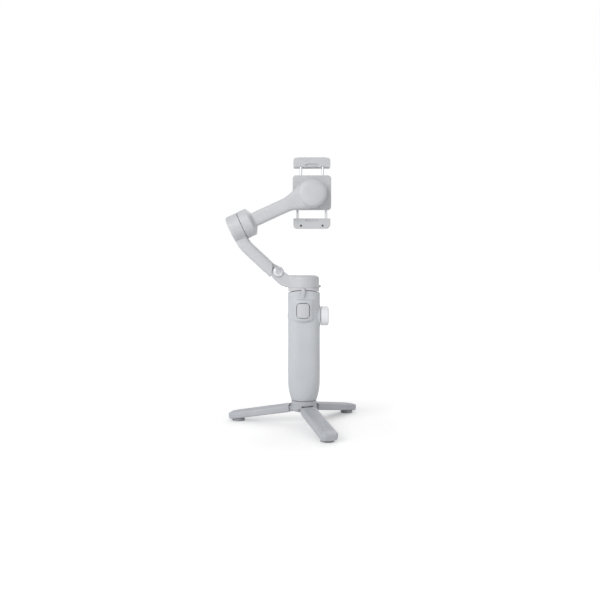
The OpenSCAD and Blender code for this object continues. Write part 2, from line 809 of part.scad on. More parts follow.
module clamp_plate() {
    color([0.77, 0.78, 0.79]) difference() {
        union() {
            upright(plate_y, plate_y + plate_t)
                translate(clamp_c) round_rect(plate_w, plate_h, 4);
            y_rod(roll_c[0], roll_c[1], 2 * roll_r - 2, roll_front + 2 * seam, plate_y + 1);
        }
        rod_pair(1, upper_rod_x, run_gap, rod_inner_end - jaw_close - 1, plate_h);
        rod_pair(-1, lower_rod_x, run_gap, rod_inner_end - jaw_close - 1, plate_h);
        for (side = [-1, 1])
            translate([clamp_c[0] + side * 6, rod_y, plate_low + 4])
                cylinder(d = 3.6, h = plate_h - 8);
    }
}

module clamp_springs() {
    color("silver") for (side = [-1, 1])
        translate([clamp_c[0] + side * 6, rod_y, plate_low + 4.2])
            cylinder(d = 3, h = plate_h - 8.4);
}

// Points along a quarter circle, for a corner cut in short flats
function corner_points(centre, r, from) =
    [for (step = [0 : 5]) centre + r * [cos(from + 18 * step), sin(from + 18 * step)]];

// Outline of a jaw seen from behind, with its outer edge up; crown is the rise of its middle
module jaw_outline(crown, corner) {
    outer = phone_gap / 2 + jaw_cap;
    inner = phone_gap / 2 - jaw_skirt;
    half = jaw_w / 2;
    flank = outer - crown;
    crown_points = crown > 0 ? [[0.6 * half, outer], [-0.6 * half, outer]] : [];
    polygon(concat([[half, inner]], corner_points([half - corner, flank - corner], corner, 0),
        crown_points, corner_points([corner - half, flank - corner], corner, 90),
        [[-half, inner]]));
}

module jaw(way, half_x, crown, corner) {
    face = phone_gap / 2 + pad_t;
    outer = phone_gap / 2 + jaw_cap;
    lip_inner = phone_gap / 2 - 4.2;
    difference() {
        upright(jaw_back_y, lip_y + lip_t) translate(clamp_c) mirror([0, way < 0 ? 1 : 0, 0])
            jaw_outline(crown, corner);
        upright(phone_y - 1.4, lip_y) translate(clamp_c) mirror([0, way < 0 ? 1 : 0, 0])
            translate([-jaw_w, -face]) square([2 * jaw_w, 2 * face]);
        upright(lip_y - 1, lip_y + lip_t + 1) translate(clamp_c) mirror([0, way < 0 ? 1 : 0, 0])
            translate([-jaw_w, 0]) square([2 * jaw_w, lip_inner]);
        upright(jaw_back_y - 1, jaw_back_y + 0.8) translate(clamp_c)
            mirror([0, way < 0 ? 1 : 0, 0])
            translate([-7.8, phone_gap / 2 - 3.9]) square([15.6, 2.9]);
        rod_pair(way, half_x, 0, phone_gap / 2 - jaw_skirt - 1, rod_outer_end);
        if (way < 0) jaw_screw_places(2.4, 1.6);
    }
}

module jaw_screw_places(d, depth) {
    for (side = [-1, 1])
        y_rod(clamp_c[0] + side * 13.1, gap_low - 4.2, d, jaw_back_y, jaw_back_y + depth);
}

module jaw_pad(way) {
    upright(phone_y - 1.4, lip_y) translate(clamp_c) mirror([0, way < 0 ? 1 : 0, 0])
        translate([-jaw_w / 2 + 2, phone_gap / 2]) square([jaw_w - 4, pad_t]);
}

module upper_jaw() { color([0.78, 0.79, 0.8]) jaw(1, upper_rod_x, 1.6, 2.5); }
module lower_jaw() { color([0.72, 0.73, 0.75]) jaw(-1, lower_rod_x, 0, 4); }
module upper_jaw_pad() { color([0.3, 0.3, 0.32]) jaw_pad(1); }
module lower_jaw_pad() { color([0.3, 0.3, 0.32]) jaw_pad(-1); }
module upper_jaw_rods() { color("silver") rod_pair(1, upper_rod_x, 0, rod_inner_end, rod_outer_end); }
module lower_jaw_rods() { color("silver") rod_pair(-1, lower_rod_x, 0, rod_inner_end, rod_outer_end); }
module lower_jaw_screws() { color("dimgray") jaw_screw_places(2.4, 1.6); }

module leg_front() { leg(0); }
module leg_right() { leg(1); }
module leg_left() { leg(2); }
module foot_front() { foot(0); }
module foot_right() { foot(1); }
module foot_left() { foot(2); }

handle_front_shell();
handle_rear_shell();
handle_base_cap();
tripod_socket();
battery_cell();
main_board();
usb_port();
control_panel();
status_lights();
rod_guide_sleeve();
trigger_button();
trigger_switch();
focus_knob();
knob_encoder();
joystick_base();
joystick_ring();
joystick_cap();
record_button();
mode_button();
power_button();
rod_outer_tube();
rod_inner_tube();
rod_head_collar();
pan_motor_rotor();
pan_motor_stator();
pan_bearing();
pan_housing();
fold_pin();
fold_pin_nut();
lower_arm_shell();
lower_arm_cover();
tilt_motor_stator();
tilt_bearing();
tilt_motor_rotor();
upper_arm_shell();
upper_arm_cover();
roll_motor_stator();
roll_bearing();
roll_motor_rotor();
clamp_plate();
clamp_springs();
upper_jaw();
upper_jaw_pad();
upper_jaw_rods();
lower_jaw();
lower_jaw_pad();
lower_jaw_rods();
lower_jaw_screws();
tripod_hub();
tripod_stud();
leg_pins();
leg_front();
leg_right();
leg_left();
foot_front();
foot_right();
foot_left();
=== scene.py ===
"""Looks of a hand-held three-axis phone gimbal that stands on its fold-out mini tripod.

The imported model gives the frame: every place comes from its boxes and joints. The classes below
model the visible shells, buttons, arms, clamp and legs, and dress them and the inner parts.
Lengths are in metres; MM turns millimetres into metres.
"""
import json
import logging
import math
from dataclasses import dataclass
from enum import Enum
from typing import Callable, Optional, Sequence, Union

import bpy
from mathutils import Matrix, Vector


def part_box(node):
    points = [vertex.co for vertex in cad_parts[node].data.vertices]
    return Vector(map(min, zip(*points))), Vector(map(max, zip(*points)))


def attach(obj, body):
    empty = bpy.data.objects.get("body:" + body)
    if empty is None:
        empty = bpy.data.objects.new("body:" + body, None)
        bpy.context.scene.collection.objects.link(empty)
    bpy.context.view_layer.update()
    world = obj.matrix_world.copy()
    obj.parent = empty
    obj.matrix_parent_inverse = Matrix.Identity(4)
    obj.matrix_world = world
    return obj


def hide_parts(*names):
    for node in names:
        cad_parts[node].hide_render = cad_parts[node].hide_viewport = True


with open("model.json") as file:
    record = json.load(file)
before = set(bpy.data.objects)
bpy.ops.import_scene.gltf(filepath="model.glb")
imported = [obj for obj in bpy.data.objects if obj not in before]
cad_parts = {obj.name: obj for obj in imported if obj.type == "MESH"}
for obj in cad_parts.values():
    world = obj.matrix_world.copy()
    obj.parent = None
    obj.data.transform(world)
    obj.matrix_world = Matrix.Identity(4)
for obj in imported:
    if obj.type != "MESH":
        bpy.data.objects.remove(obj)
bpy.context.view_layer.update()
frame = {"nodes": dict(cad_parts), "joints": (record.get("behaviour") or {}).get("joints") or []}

MM = 0.001
LOG = logging.getLogger("gimbal")
JOINTS = {joint["name"]: joint for joint in frame["joints"]}
Shape = bpy.types.Object
X, Y, Z = Vector((1, 0, 0)), Vector((0, 1, 0)), Vector((0, 0, 1))
THROUGH = 20 * MM  # half length of a cutter that passes right through along Y
WIDE = 0.1  # half length of a cutter that is wider than anything here


# ---------------------------------------------------------------- finishes

DRIFT_SIZE = 22 * MM  # size of the slow drift of colour
POLISH_SIZE = 6 * MM  # size of the patches of more and less gloss
POLISH_SPREAD = 0.06  # how far the roughness goes either side of its middle


class Surface(Enum):
    """The ways in which a finish scatters light."""

    SATIN = "satin"
    METAL = "metal"
    TURNED = "turned"
    RUBBER = "rubber"


@dataclass(frozen=True)
class Finish:
    """One finish, and the procedural material that shows it.

    Args:
        name: the material's name.
        slot: the record's material slot; it is not used.
        colour: linear colour.
        surface: how it scatters light.
        roughness: middle roughness.
        grain: size of the fine grain, in metres.
        relief: height of the grain, in metres.
        spread: how far the colour drifts over the surface, as a share.
        coat: strength of a clear gloss on top.
    """

    name: str
    slot: str
    colour: tuple[float, float, float]
    surface: Surface = Surface.SATIN
    roughness: float = 0.45
    grain: float = 0.35 * MM
    relief: float = 0.012 * MM
    spread: float = 0.03
    coat: float = 0.0

    def material(self) -> bpy.types.Material:
        """Returns this finish's material, made once."""
        found = bpy.data.materials.get(self.name)
        if found:
            return found
        made = bpy.data.materials.new(self.name)
        made.use_nodes = True
        tree = made.node_tree
        shader = tree.nodes["Principled BSDF"]
        place = tree.nodes.new("ShaderNodeTexCoord").outputs["Object"]
        shader.inputs["Metallic"].default_value = float(
            self.surface in (Surface.METAL, Surface.TURNED))
        shader.inputs["Coat Weight"].default_value = self.coat
        if self.surface is Surface.RUBBER:
            shader.inputs["Sheen Weight"].default_value = 0.25
        drift = self._noise(tree, place, 1.0 / DRIFT_SIZE, 4.0)
        tones = tree.nodes.new("ShaderNodeValToRGB")
        tones.color_ramp.elements[0].position = 0.3
        tones.color_ramp.elements[1].position = 0.7
        for element, share in zip(tones.color_ramp.elements, (1 - self.spread, 1 + self.spread)):
            element.color = (*(min(1.0, channel * share) for channel in self.colour), 1.0)
        tree.links.new(drift, tones.inputs["Fac"])
        tree.links.new(tones.outputs["Color"], shader.inputs["Base Color"])
        polish = tree.nodes.new("ShaderNodeMapRange")
        polish.inputs["To Min"].default_value = self.roughness - POLISH_SPREAD
        polish.inputs["To Max"].default_value = self.roughness + POLISH_SPREAD
        tree.links.new(self._noise(tree, place, 1.0 / POLISH_SIZE, 6.0), polish.inputs["Value"])
        tree.links.new(polish.outputs["Result"], shader.inputs["Roughness"])
        bump = tree.nodes.new("ShaderNodeBump")
        bump.inputs["Distance"].default_value = self.relief
        bump.inputs["Strength"].default_value = 1.0
        tree.links.new(self._relief(tree, place), bump.inputs["Height"])
        tree.links.new(bump.outputs["Normal"], shader.inputs["Normal"])
        return made

    def _noise(self, tree: bpy.types.NodeTree, place: bpy.types.NodeSocket, scale: float,
               detail: float) -> bpy.types.NodeSocket:
        """Adds a noise field and returns its value.

        Args:
            tree: the material's nodes.
            place: the coordinates that it reads.
            scale: cells to a metre.
            detail: octaves.

        Returns:
            The value socket.
        """
        noise = tree.nodes.new("ShaderNodeTexNoise")
        noise.inputs["Scale"].default_value = scale
        noise.inputs["Detail"].default_value = detail
        tree.links.new(place, noise.inputs["Vector"])
        return noise.outputs["Fac"]

    def _relief(self, tree: bpy.types.NodeTree,
                place: bpy.types.NodeSocket) -> bpy.types.NodeSocket:
        """Adds the fine relief of this surface and returns its height.

        Args:
            tree: the material's nodes.
            place: the coordinates that it reads.

        Returns:
            The height socket.
        """
        if self.surface is Surface.METAL:
            stretch = tree.nodes.new("ShaderNodeMapping")
            stretch.inputs["Scale"].default_value = (1.0, 1.0, 0.04)
            tree.links.new(place, stretch.inputs["Vector"])
            return self._noise(tree, stretch.outputs["Vector"], 1.0 / self.grain, 3.0)
        if self.surface is Surface.TURNED:
            pin = Vector(JOINTS["arm_fold"]["pos_m"])
            centre = tree.nodes.new("ShaderNodeMapping")
            centre.inputs["Location"].default_value = -pin
            rings = tree.nodes.new("ShaderNodeTexWave")
            rings.wave_type = "RINGS"
            rings.rings_direction = "Y"
            rings.inputs["Scale"].default_value = 0.35 / self.grain
            rings.inputs["Distortion"].default_value = 0.4
            tree.links.new(place, centre.inputs["Vector"])
            tree.links.new(centre.outputs["Vector"], rings.inputs["Vector"])
            return rings.outputs["Fac"]
        return self._noise(tree, place, 1.0 / self.grain, 2.0)

    def dress(self, piece: Shape) -> None:
        """Puts this finish on a piece, in place of what it had.

        Args:
            piece: the piece to dress.
        """
        piece.data.materials.clear()
        piece.data.materials.append(self.material())


HANDLE_GREY = Finish("handle_satin", "body_shell", (0.560, 0.578, 0.604), roughness=0.48)
ARM_GREY = Finish("arm_satin", "arm_shell", (0.572, 0.580, 0.602), roughness=0.44,
                  relief=0.008 * MM)
CLAMP_GREY = Finish("clamp_satin", "clamp_plastic", (0.560, 0.572, 0.592), roughness=0.46)
TRIPOD_GREY = Finish("tripod_grained", "tripod_plastic", (0.468, 0.482, 0.515), roughness=0.55,
                     grain=0.5 * MM, relief=0.03 * MM, spread=0.05)
PALE_GLOSS = Finish("button_gloss", "button_gloss", (0.480, 0.494, 0.540), roughness=0.36,
                    relief=0.003 * MM, spread=0.02, coat=0.15)
DARK_SATIN = Finish("dark_satin", "dark_plastic", (0.020, 0.020, 0.022), roughness=0.4)
RECORD_RED = Finish("record_red", "record_red", (0.55, 0.02, 0.015), roughness=0.3, coat=0.3)
LIGHT_LENS = Finish("light_lens", "light_lens", (0.80, 0.84, 0.88), roughness=0.2, coat=0.5)
RUBBER = Finish("soft_rubber", "soft_rubber", (0.055, 0.056, 0.060), Surface.RUBBER, 0.7,
                grain=0.6 * MM, relief=0.05 * MM, spread=0.12)
FOOT_RUBBER = Finish("foot_rubber", "soft_rubber", (0.33, 0.338, 0.36), Surface.RUBBER, 0.75,
                     grain=0.6 * MM, relief=0.05 * MM, spread=0.1)
STEEL = Finish("bright_steel", "steel", (0.50, 0.51, 0.53), Surface.METAL, 0.28,
               grain=0.08 * MM, relief=0.003 * MM)
PIN_STEEL = Finish("turned_steel", "steel", (0.46, 0.47, 0.49), Surface.TURNED, 0.24,
                   grain=0.12 * MM, relief=0.006 * MM)
ROD_METAL = Finish("drawn_tube", "rod_metal", (0.50, 0.51, 0.53), Surface.METAL, 0.34,
                   grain=0.1 * MM, relief=0.004 * MM)
BATTERY = Finish("battery_sleeve", "battery_sleeve", (0.03, 0.12, 0.06), roughness=0.35)
BOARD = Finish("solder_mask", "board_green", (0.01, 0.06, 0.02), roughness=0.35,
               grain=0.8 * MM, relief=0.05 * MM, spread=0.3)
COPPER = Finish("coil_copper", "coil_copper", (0.66, 0.28, 0.12), Surface.METAL, 0.35,
                grain=0.5 * MM, relief=0.08 * MM)
MOTOR_STEEL = Finish("motor_steel", "motor_steel", (0.10, 0.10, 0.11), Surface.METAL, 0.38)


# ---------------------------------------------------------------- workbench

class Cut(Enum):
    """What a boolean does with its second solid."""

    AWAY = "DIFFERENCE"
    ADD = "UNION"
    KEEP = "INTERSECT"


@dataclass(frozen=True)
class Ring:
    """One cross-section of a loft: a superellipse on a plane.

    Args:
        centre: middle of the section.
        across: direction of its first half width.
        along: the loft's direction there.
        half: the two half widths.
        power: 2 is an ellipse, and a higher power is squarer.
    """

    centre: Vector
    across: Vector
    along: Vector
    half: tuple[float, float]
    power: float = 3.0

    def points(self, count: int) -> list[Vector]:
        """Returns the section's points in order round it.

        Args:
            count: how many points.

        Returns:
            The points.
        """
        second = self.along.cross(self.across).normalized()
        found = []
        for step in range(count):
            turn = 2 * math.pi * step / count
            cos, sin = math.cos(turn), math.sin(turn)
            x = math.copysign(abs(cos) ** (2 / self.power), cos) * self.half[0]
            y = math.copysign(abs(sin) ** (2 / self.power), sin) * self.half[1]
            found.append(self.centre + self.across.normalized() * x + second * y)
        return found


class Bench:
    """The modelling operators, each made to act on one piece only."""

    @staticmethod
    def focus(piece: Optional[Shape]) -> None:
        """Leaves edit mode, deselects everything and picks one piece.

        Args:
            piece: the piece to pick, or None for none.
        """
        if bpy.context.mode != "OBJECT":
            bpy.ops.object.mode_set(mode="OBJECT")
        bpy.ops.object.select_all(action="DESELECT")
        if piece:
            piece.select_set(True)
            bpy.context.view_layer.objects.active = piece

    @classmethod
    def _named(cls, name: str) -> Shape:
        """Names the piece that an operator has just added."""
        piece = bpy.context.object
        piece.name = name
        piece.data.name = name
        return piece

    @classmethod
    def turned(cls, name: str, stations: Sequence[tuple[float, float]],
               sides: int = 96) -> Shape:
        """Turns a solid about Z by extruding and resizing one disc.

        Args:
            name: the piece's name.
            stations: radius and height of each step, from one end to the other.
            sides: flats round the turning.

        Returns:
            The solid.
        """
        cls.focus(None)
        radius, height = stations[0]
        bpy.ops.mesh.primitive_circle_add(vertices=sides, radius=radius, fill_type="NGON",
                                          location=(0, 0, height))
        piece = cls._named(name)
        bpy.ops.object.transform_apply(location=True)
        bpy.ops.object.mode_set(mode="EDIT")
        bpy.ops.mesh.select_all(action="SELECT")
        for wider, higher in stations[1:]:
            bpy.ops.mesh.extrude_region_move(
                TRANSFORM_OT_translate={"value": (0, 0, higher - height)})
            factor = wider / radius
            bpy.ops.transform.resize(value=(factor, factor, 1), center_override=(0, 0, higher))
            radius, height = wider, higher
        cls._close(piece)
        return piece

    @classmethod
    def prism(cls, name: str, width: float, depth: float, corner: float,
              height: float, segments: int = 10) -> Shape:
        """Makes an upright block with rounded vertical edges, standing on Z = 0.

        Args:
            name: the piece's name.
            width: size along X.
            depth: size along Y.
            corner: radius of the vertical edges.
            height: size along Z.
            segments: flats to a corner.

        Returns:
            The block.
        """
        cls.focus(None)
        bpy.ops.mesh.primitive_plane_add(size=1)
        piece = cls._named(name)
        piece.scale = (width, depth, 1)
        bpy.ops.object.transform_apply(scale=True)
        bpy.ops.object.mode_set(mode="EDIT")
        bpy.ops.mesh.select_all(action="SELECT")
        bpy.ops.mesh.bevel(offset=corner, segments=segments, affect="VERTICES")
        bpy.ops.mesh.select_all(action="SELECT")
        bpy.ops.mesh.extrude_region_move(TRANSFORM_OT_translate={"value": (0, 0, height)})
        cls._close(piece)
        return piece

    @classmethod
    def block(cls, name: str, low: Sequence[float], high: Sequence[float]) -> Shape:
        """Makes a square block between two corners.

        Args:
            name: the piece's name.
            low: lowest corner.
            high: highest corner.

        Returns:
            The block.
        """
        cls.focus(None)
        middle = (Vector(low) + Vector(high)) / 2
        bpy.ops.mesh.primitive_cube_add(size=1, location=middle)
        piece = cls._named(name)
        piece.scale = Vector(high) - Vector(low)
        bpy.ops.object.transform_apply(location=True, rotation=True, scale=True)
        return piece

    @classmethod
    def rod(cls, name: str, start: Vector, end: Vector, radius: float,
            sides: int = 64) -> Shape:
        """Makes a plain round bar between two points.

        Args:
            name: the piece's name.
            start: middle of one end.
            end: middle of the other end.
            radius: its radius.
            sides: flats round it.

        Returns:
            The bar.
        """
        cls.focus(None)
        way = end - start
        bpy.ops.mesh.primitive_cylinder_add(vertices=sides, radius=radius, depth=way.length)
        piece = cls._named(name)
        turn = Z.rotation_difference(way.normalized()).to_matrix().to_4x4()
        return cls.place(piece, Matrix.Translation((start + end) / 2) @ turn)

    @classmethod
    def crossbar(cls, name: str, place: Vector, half: float, radius: float,
                 sides: int = 64) -> Shape:
        """Makes a bar along Y, as long on both sides of the middle plane.

        Args:
            name: the piece's name.
            place: gives its X and Z.
            half: half of its length.
            radius: its radius.
            sides: flats round it.

        Returns:
            The bar.
        """
        return cls.rod(name, Vector((place.x, -half, place.z)), Vector((place.x, half, place.z)),
                       radius, sides)

    @classmethod
    def pillar(cls, name: str, low: float, high: float, radius: float,
               sides: int = 64) -> Shape:
        """Makes an upright bar on the handle's axis.

        Args:
            name: the piece's name.
            low: height of its foot.
            high: height of its top.
            radius: its radius.
            sides: flats round it.

        Returns:
            The bar.
        """
        return cls.rod(name, Vector((0, 0, low)), Vector((0, 0, high)), radius, sides)

    @classmethod
    def outline(cls, name: str, points: Sequence[tuple[float, float]], low: float,
                high: float) -> Shape:
        """Raises an outline drawn in X and Z into a plate that lies between two depths.

        Args:
            name: the piece's name.
            points: the outline's corners.
            low: lower Y.
            high: higher Y.

        Returns:
            The plate.
        """
        cls.focus(None)
        bpy.ops.mesh.primitive_circle_add(vertices=len(points), radius=1, fill_type="NGON")
        piece = cls._named(name)
        for vertex, (x, z) in zip(piece.data.vertices, points):
            vertex.co = (x, low, z)
        bpy.ops.object.mode_set(mode="EDIT")
        bpy.ops.mesh.select_all(action="SELECT")
        bpy.ops.mesh.extrude_region_move(TRANSFORM_OT_translate={"value": (0, high - low, 0)})
        cls._close(piece)
        return piece

    @classmethod
    def loft(cls, name: str, rings: Sequence[Ring], count: int = 64) -> Shape:
        """Wraps a grid round a row of cross-sections and closes its ends.

        Args:
            name: the piece's name.
            rings: the sections in order.
            count: points to a section.

        Returns:
            The solid.
        """
        cls.focus(None)
        bpy.ops.mesh.primitive_grid_add(x_subdivisions=count, y_subdivisions=len(rings) - 1)
        piece = cls._named(name)
        places: list[Vector] = []
        for ring in rings:
            points = ring.points(count)
            places += points + points[:1]
        for vertex, point in zip(piece.data.vertices, places):
            vertex.co = point
        bpy.ops.object.mode_set(mode="EDIT")
        bpy.ops.mesh.select_all(action="SELECT")
        bpy.ops.mesh.remove_doubles(threshold=0.0005 * MM)
        bpy.ops.mesh.select_all(action="SELECT")
        bpy.ops.mesh.fill_holes(sides=0)
        cls._close(piece)
        return piece

    @classmethod
    def capped(cls, name: str, half: tuple[float, float], power: float, depth: float,
               edge: float, dome: float, count: int = 72) -> Shape:
        """Makes a button that faces +Z, with a rounded rim and a domed or dished face.

        Args:
            name: the piece's name.
            half: half widths along X and Y.
            power: how square it is; 2 is round.
            depth: how far it reaches below Z = 0.
            edge: radius of the rim.
            dome: rise of the middle of the face above the rim; less than 0 dishes it.
            count: points round it.

        Returns:
            The button.
        """
        steps = [(0.0, -depth), (0.0, -(depth + edge) / 2), (0.0, -edge)]
        for turn in range(18, 91, 18):
            bend = math.radians(turn)
            steps.append((edge * (1 - math.cos(bend)), edge * (math.sin(bend) - 1)))
        rings = [Ring(Vector((0, 0, z)), X, Z, (half[0] - inset, half[1] - inset), power)
                 for inset, z in steps]
        for share in (0.86, 0.72, 0.56, 0.4, 0.24, 0.08):
            rings.append(Ring(Vector((0, 0, dome * (1 - share * share))), X, Z,
                              ((half[0] - edge) * share, (half[1] - edge) * share), power))
        return cls.loft(name, rings, count)

    @classmethod
    def _close(cls, piece: Shape) -> None:
        """Ends an edit: turns the faces outwards and goes back to object mode."""
        bpy.ops.mesh.select_all(action="SELECT")
        bpy.ops.mesh.normals_make_consistent(inside=False)
        bpy.ops.object.mode_set(mode="OBJECT")

    @classmethod
    def place(cls, piece: Shape, matrix: Matrix) -> Shape:
        """Moves a piece and writes its place into its mesh.

        Args:
            piece: the piece.
            matrix: where it goes.

        Returns:
            The same piece.
        """
        cls.focus(piece)
        piece.matrix_world = matrix
        bpy.ops.object.transform_apply(location=True, rotation=True, scale=True)
        return piece

    @classmethod
    def apply(cls, piece: Shape, kind: str, **settings: object) -> None:
        """Adds one modifier and applies it at once.

        Args:
            piece: the piece.
            kind: Blender's name for the modifier.
            **settings: its settings.
        """
        cls.focus(piece)
        modifier = piece.modifiers.new(kind.lower(), kind)
        for key, value in settings.items():
            setattr(modifier, key, value)
        bpy.ops.object.modifier_apply(modifier=modifier.name)

    @classmethod
    def combine(cls, piece: Shape, how: Cut, *others: Shape) -> Shape:
        """Cuts other solids away from a piece, adds them to it or keeps what they share.

        Args:
            piece: the piece that changes.
            how: what is done.
            *others: the other solids, which are used up.

        Returns:
            The same piece.
        """
        for other in others:
            cls.apply(piece, "BOOLEAN", object=other, operation=how.value, solver="EXACT")
            bpy.data.objects.remove(other)
        return piece

    @classmethod
    def soften(cls, piece: Shape, cell: float, passes: int) -> Shape:
        """Gives joined solids the soft blends of a moulding.

        Args:
            piece: the piece.
            cell: size of its new faces.
            passes: how often it is smoothed.

        Returns:
            The same piece.
        """
        cls.apply(piece, "REMESH", mode="VOXEL", voxel_size=cell, adaptivity=0.0)
        cls.apply(piece, "SMOOTH", factor=0.5, iterations=passes)
        return piece

    @classmethod
    def edges(cls, piece: Shape, width: float, segments: int = 3,
              angle: float = 35.0) -> Shape:
        """Rounds a piece's sharp edges.

        Args:
            piece: the piece.
            width: width of the rounding.
            segments: flats to it.
            angle: the least angle between faces that counts as sharp, in degrees.

        Returns:
            The same piece.
        """
        cls.apply(piece, "BEVEL", width=width, segments=segments, limit_method="ANGLE",
                  angle_limit=math.radians(angle), use_clamp_overlap=True)
        return piece

    @classmethod
    def smooth(cls, piece: Shape, angle: float = 40.0) -> Shape:
        """Shades a piece smooth, and keeps its flats flat.

        Args:
            piece: the piece.
            angle: faces that meet more sharply keep their edge, in degrees.

        Returns:
            The same piece.
        """
        cls.focus(piece)
        bpy.ops.object.shade_smooth_by_angle(angle=math.radians(angle))
        cls.apply(piece, "WEIGHTED_NORMAL", keep_sharp=True)
        return piece

    @classmethod
    def shape(cls, piece: Shape, move: Callable[[Vector], Vector]) -> Shape:
        """Moves every vertex of a piece by one rule.

        Args:
            piece: the piece.
            move: gives a vertex's new place from its old one.

        Returns:
            The same piece.
        """
        for vertex in piece.data.vertices:
            vertex.co = move(vertex.co.copy())
        return piece


def fit(piece: Shape, body: str, finish: Finish, *nodes: str) -> Shape:
    """Dresses a finished piece, hangs it on its body and lets it stand for CAD nodes.

    Args:
        piece: the piece.
        body: the body that it moves with.
        finish: its finish.
        *nodes: the CAD nodes that it stands for.

    Returns:
        The same piece.
    """
    finish.dress(piece)
    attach(piece, body)
    if nodes:
        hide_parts(*nodes)
    LOG.info("%s rides on %s: %d faces", piece.name, body, len(piece.data.polygons))
    return piece


def box(*nodes: str) -> tuple[Vector, Vector]:
    """Measures CAD nodes together, at rest.

    Args:
        *nodes: their names.

    Returns:
        The lowest and the highest corner.
    """
    corners = [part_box(node) for node in nodes]
    low = Vector([min(corner[0][axis] for corner in corners) for axis in range(3)])
    high = Vector([max(corner[1][axis] for corner in corners) for axis in range(3)])
    return low, high


def eased(value: float, start: float, end: float) -> float:
    """Goes softly from 0 to 1 as a value goes from start to end.

    Args:
        value: the value.
        start: where the result is 0.
        end: where the result is 1.

    Returns:
        The share, from 0 to 1.
    """
    share = min(1.0, max(0.0, (value - start) / (end - start)))
    return share * share * (3 - 2 * share)


def soft_min(first: float, second: float, sharpness: float = 24) -> float:
    """Takes the lesser of two lengths, with a rounded corner where they cross.

    Args:
        first: one length.
        second: the other.
        sharpness: how tight the corner is.

    Returns:
        The length.
    """
    return (first ** -sharpness + second ** -sharpness) ** (-1 / sharpness)


def standing(origin: Vector, axis: Vector, side: Vector) -> Matrix:
    """Finds the place of a piece whose own Z goes along an axis.

    Args:
        origin: where its own origin goes.
        axis: where its own Z points.
        side: about where its own X points.

    Returns:
        The place.
    """
    up = axis.normalized()
    second = up.cross(side).normalized()
    return Matrix.Translation(origin) @ Matrix(
        (second.cross(up), second, up)).transposed().to_4x4()


# ---------------------------------------------------------------- handle

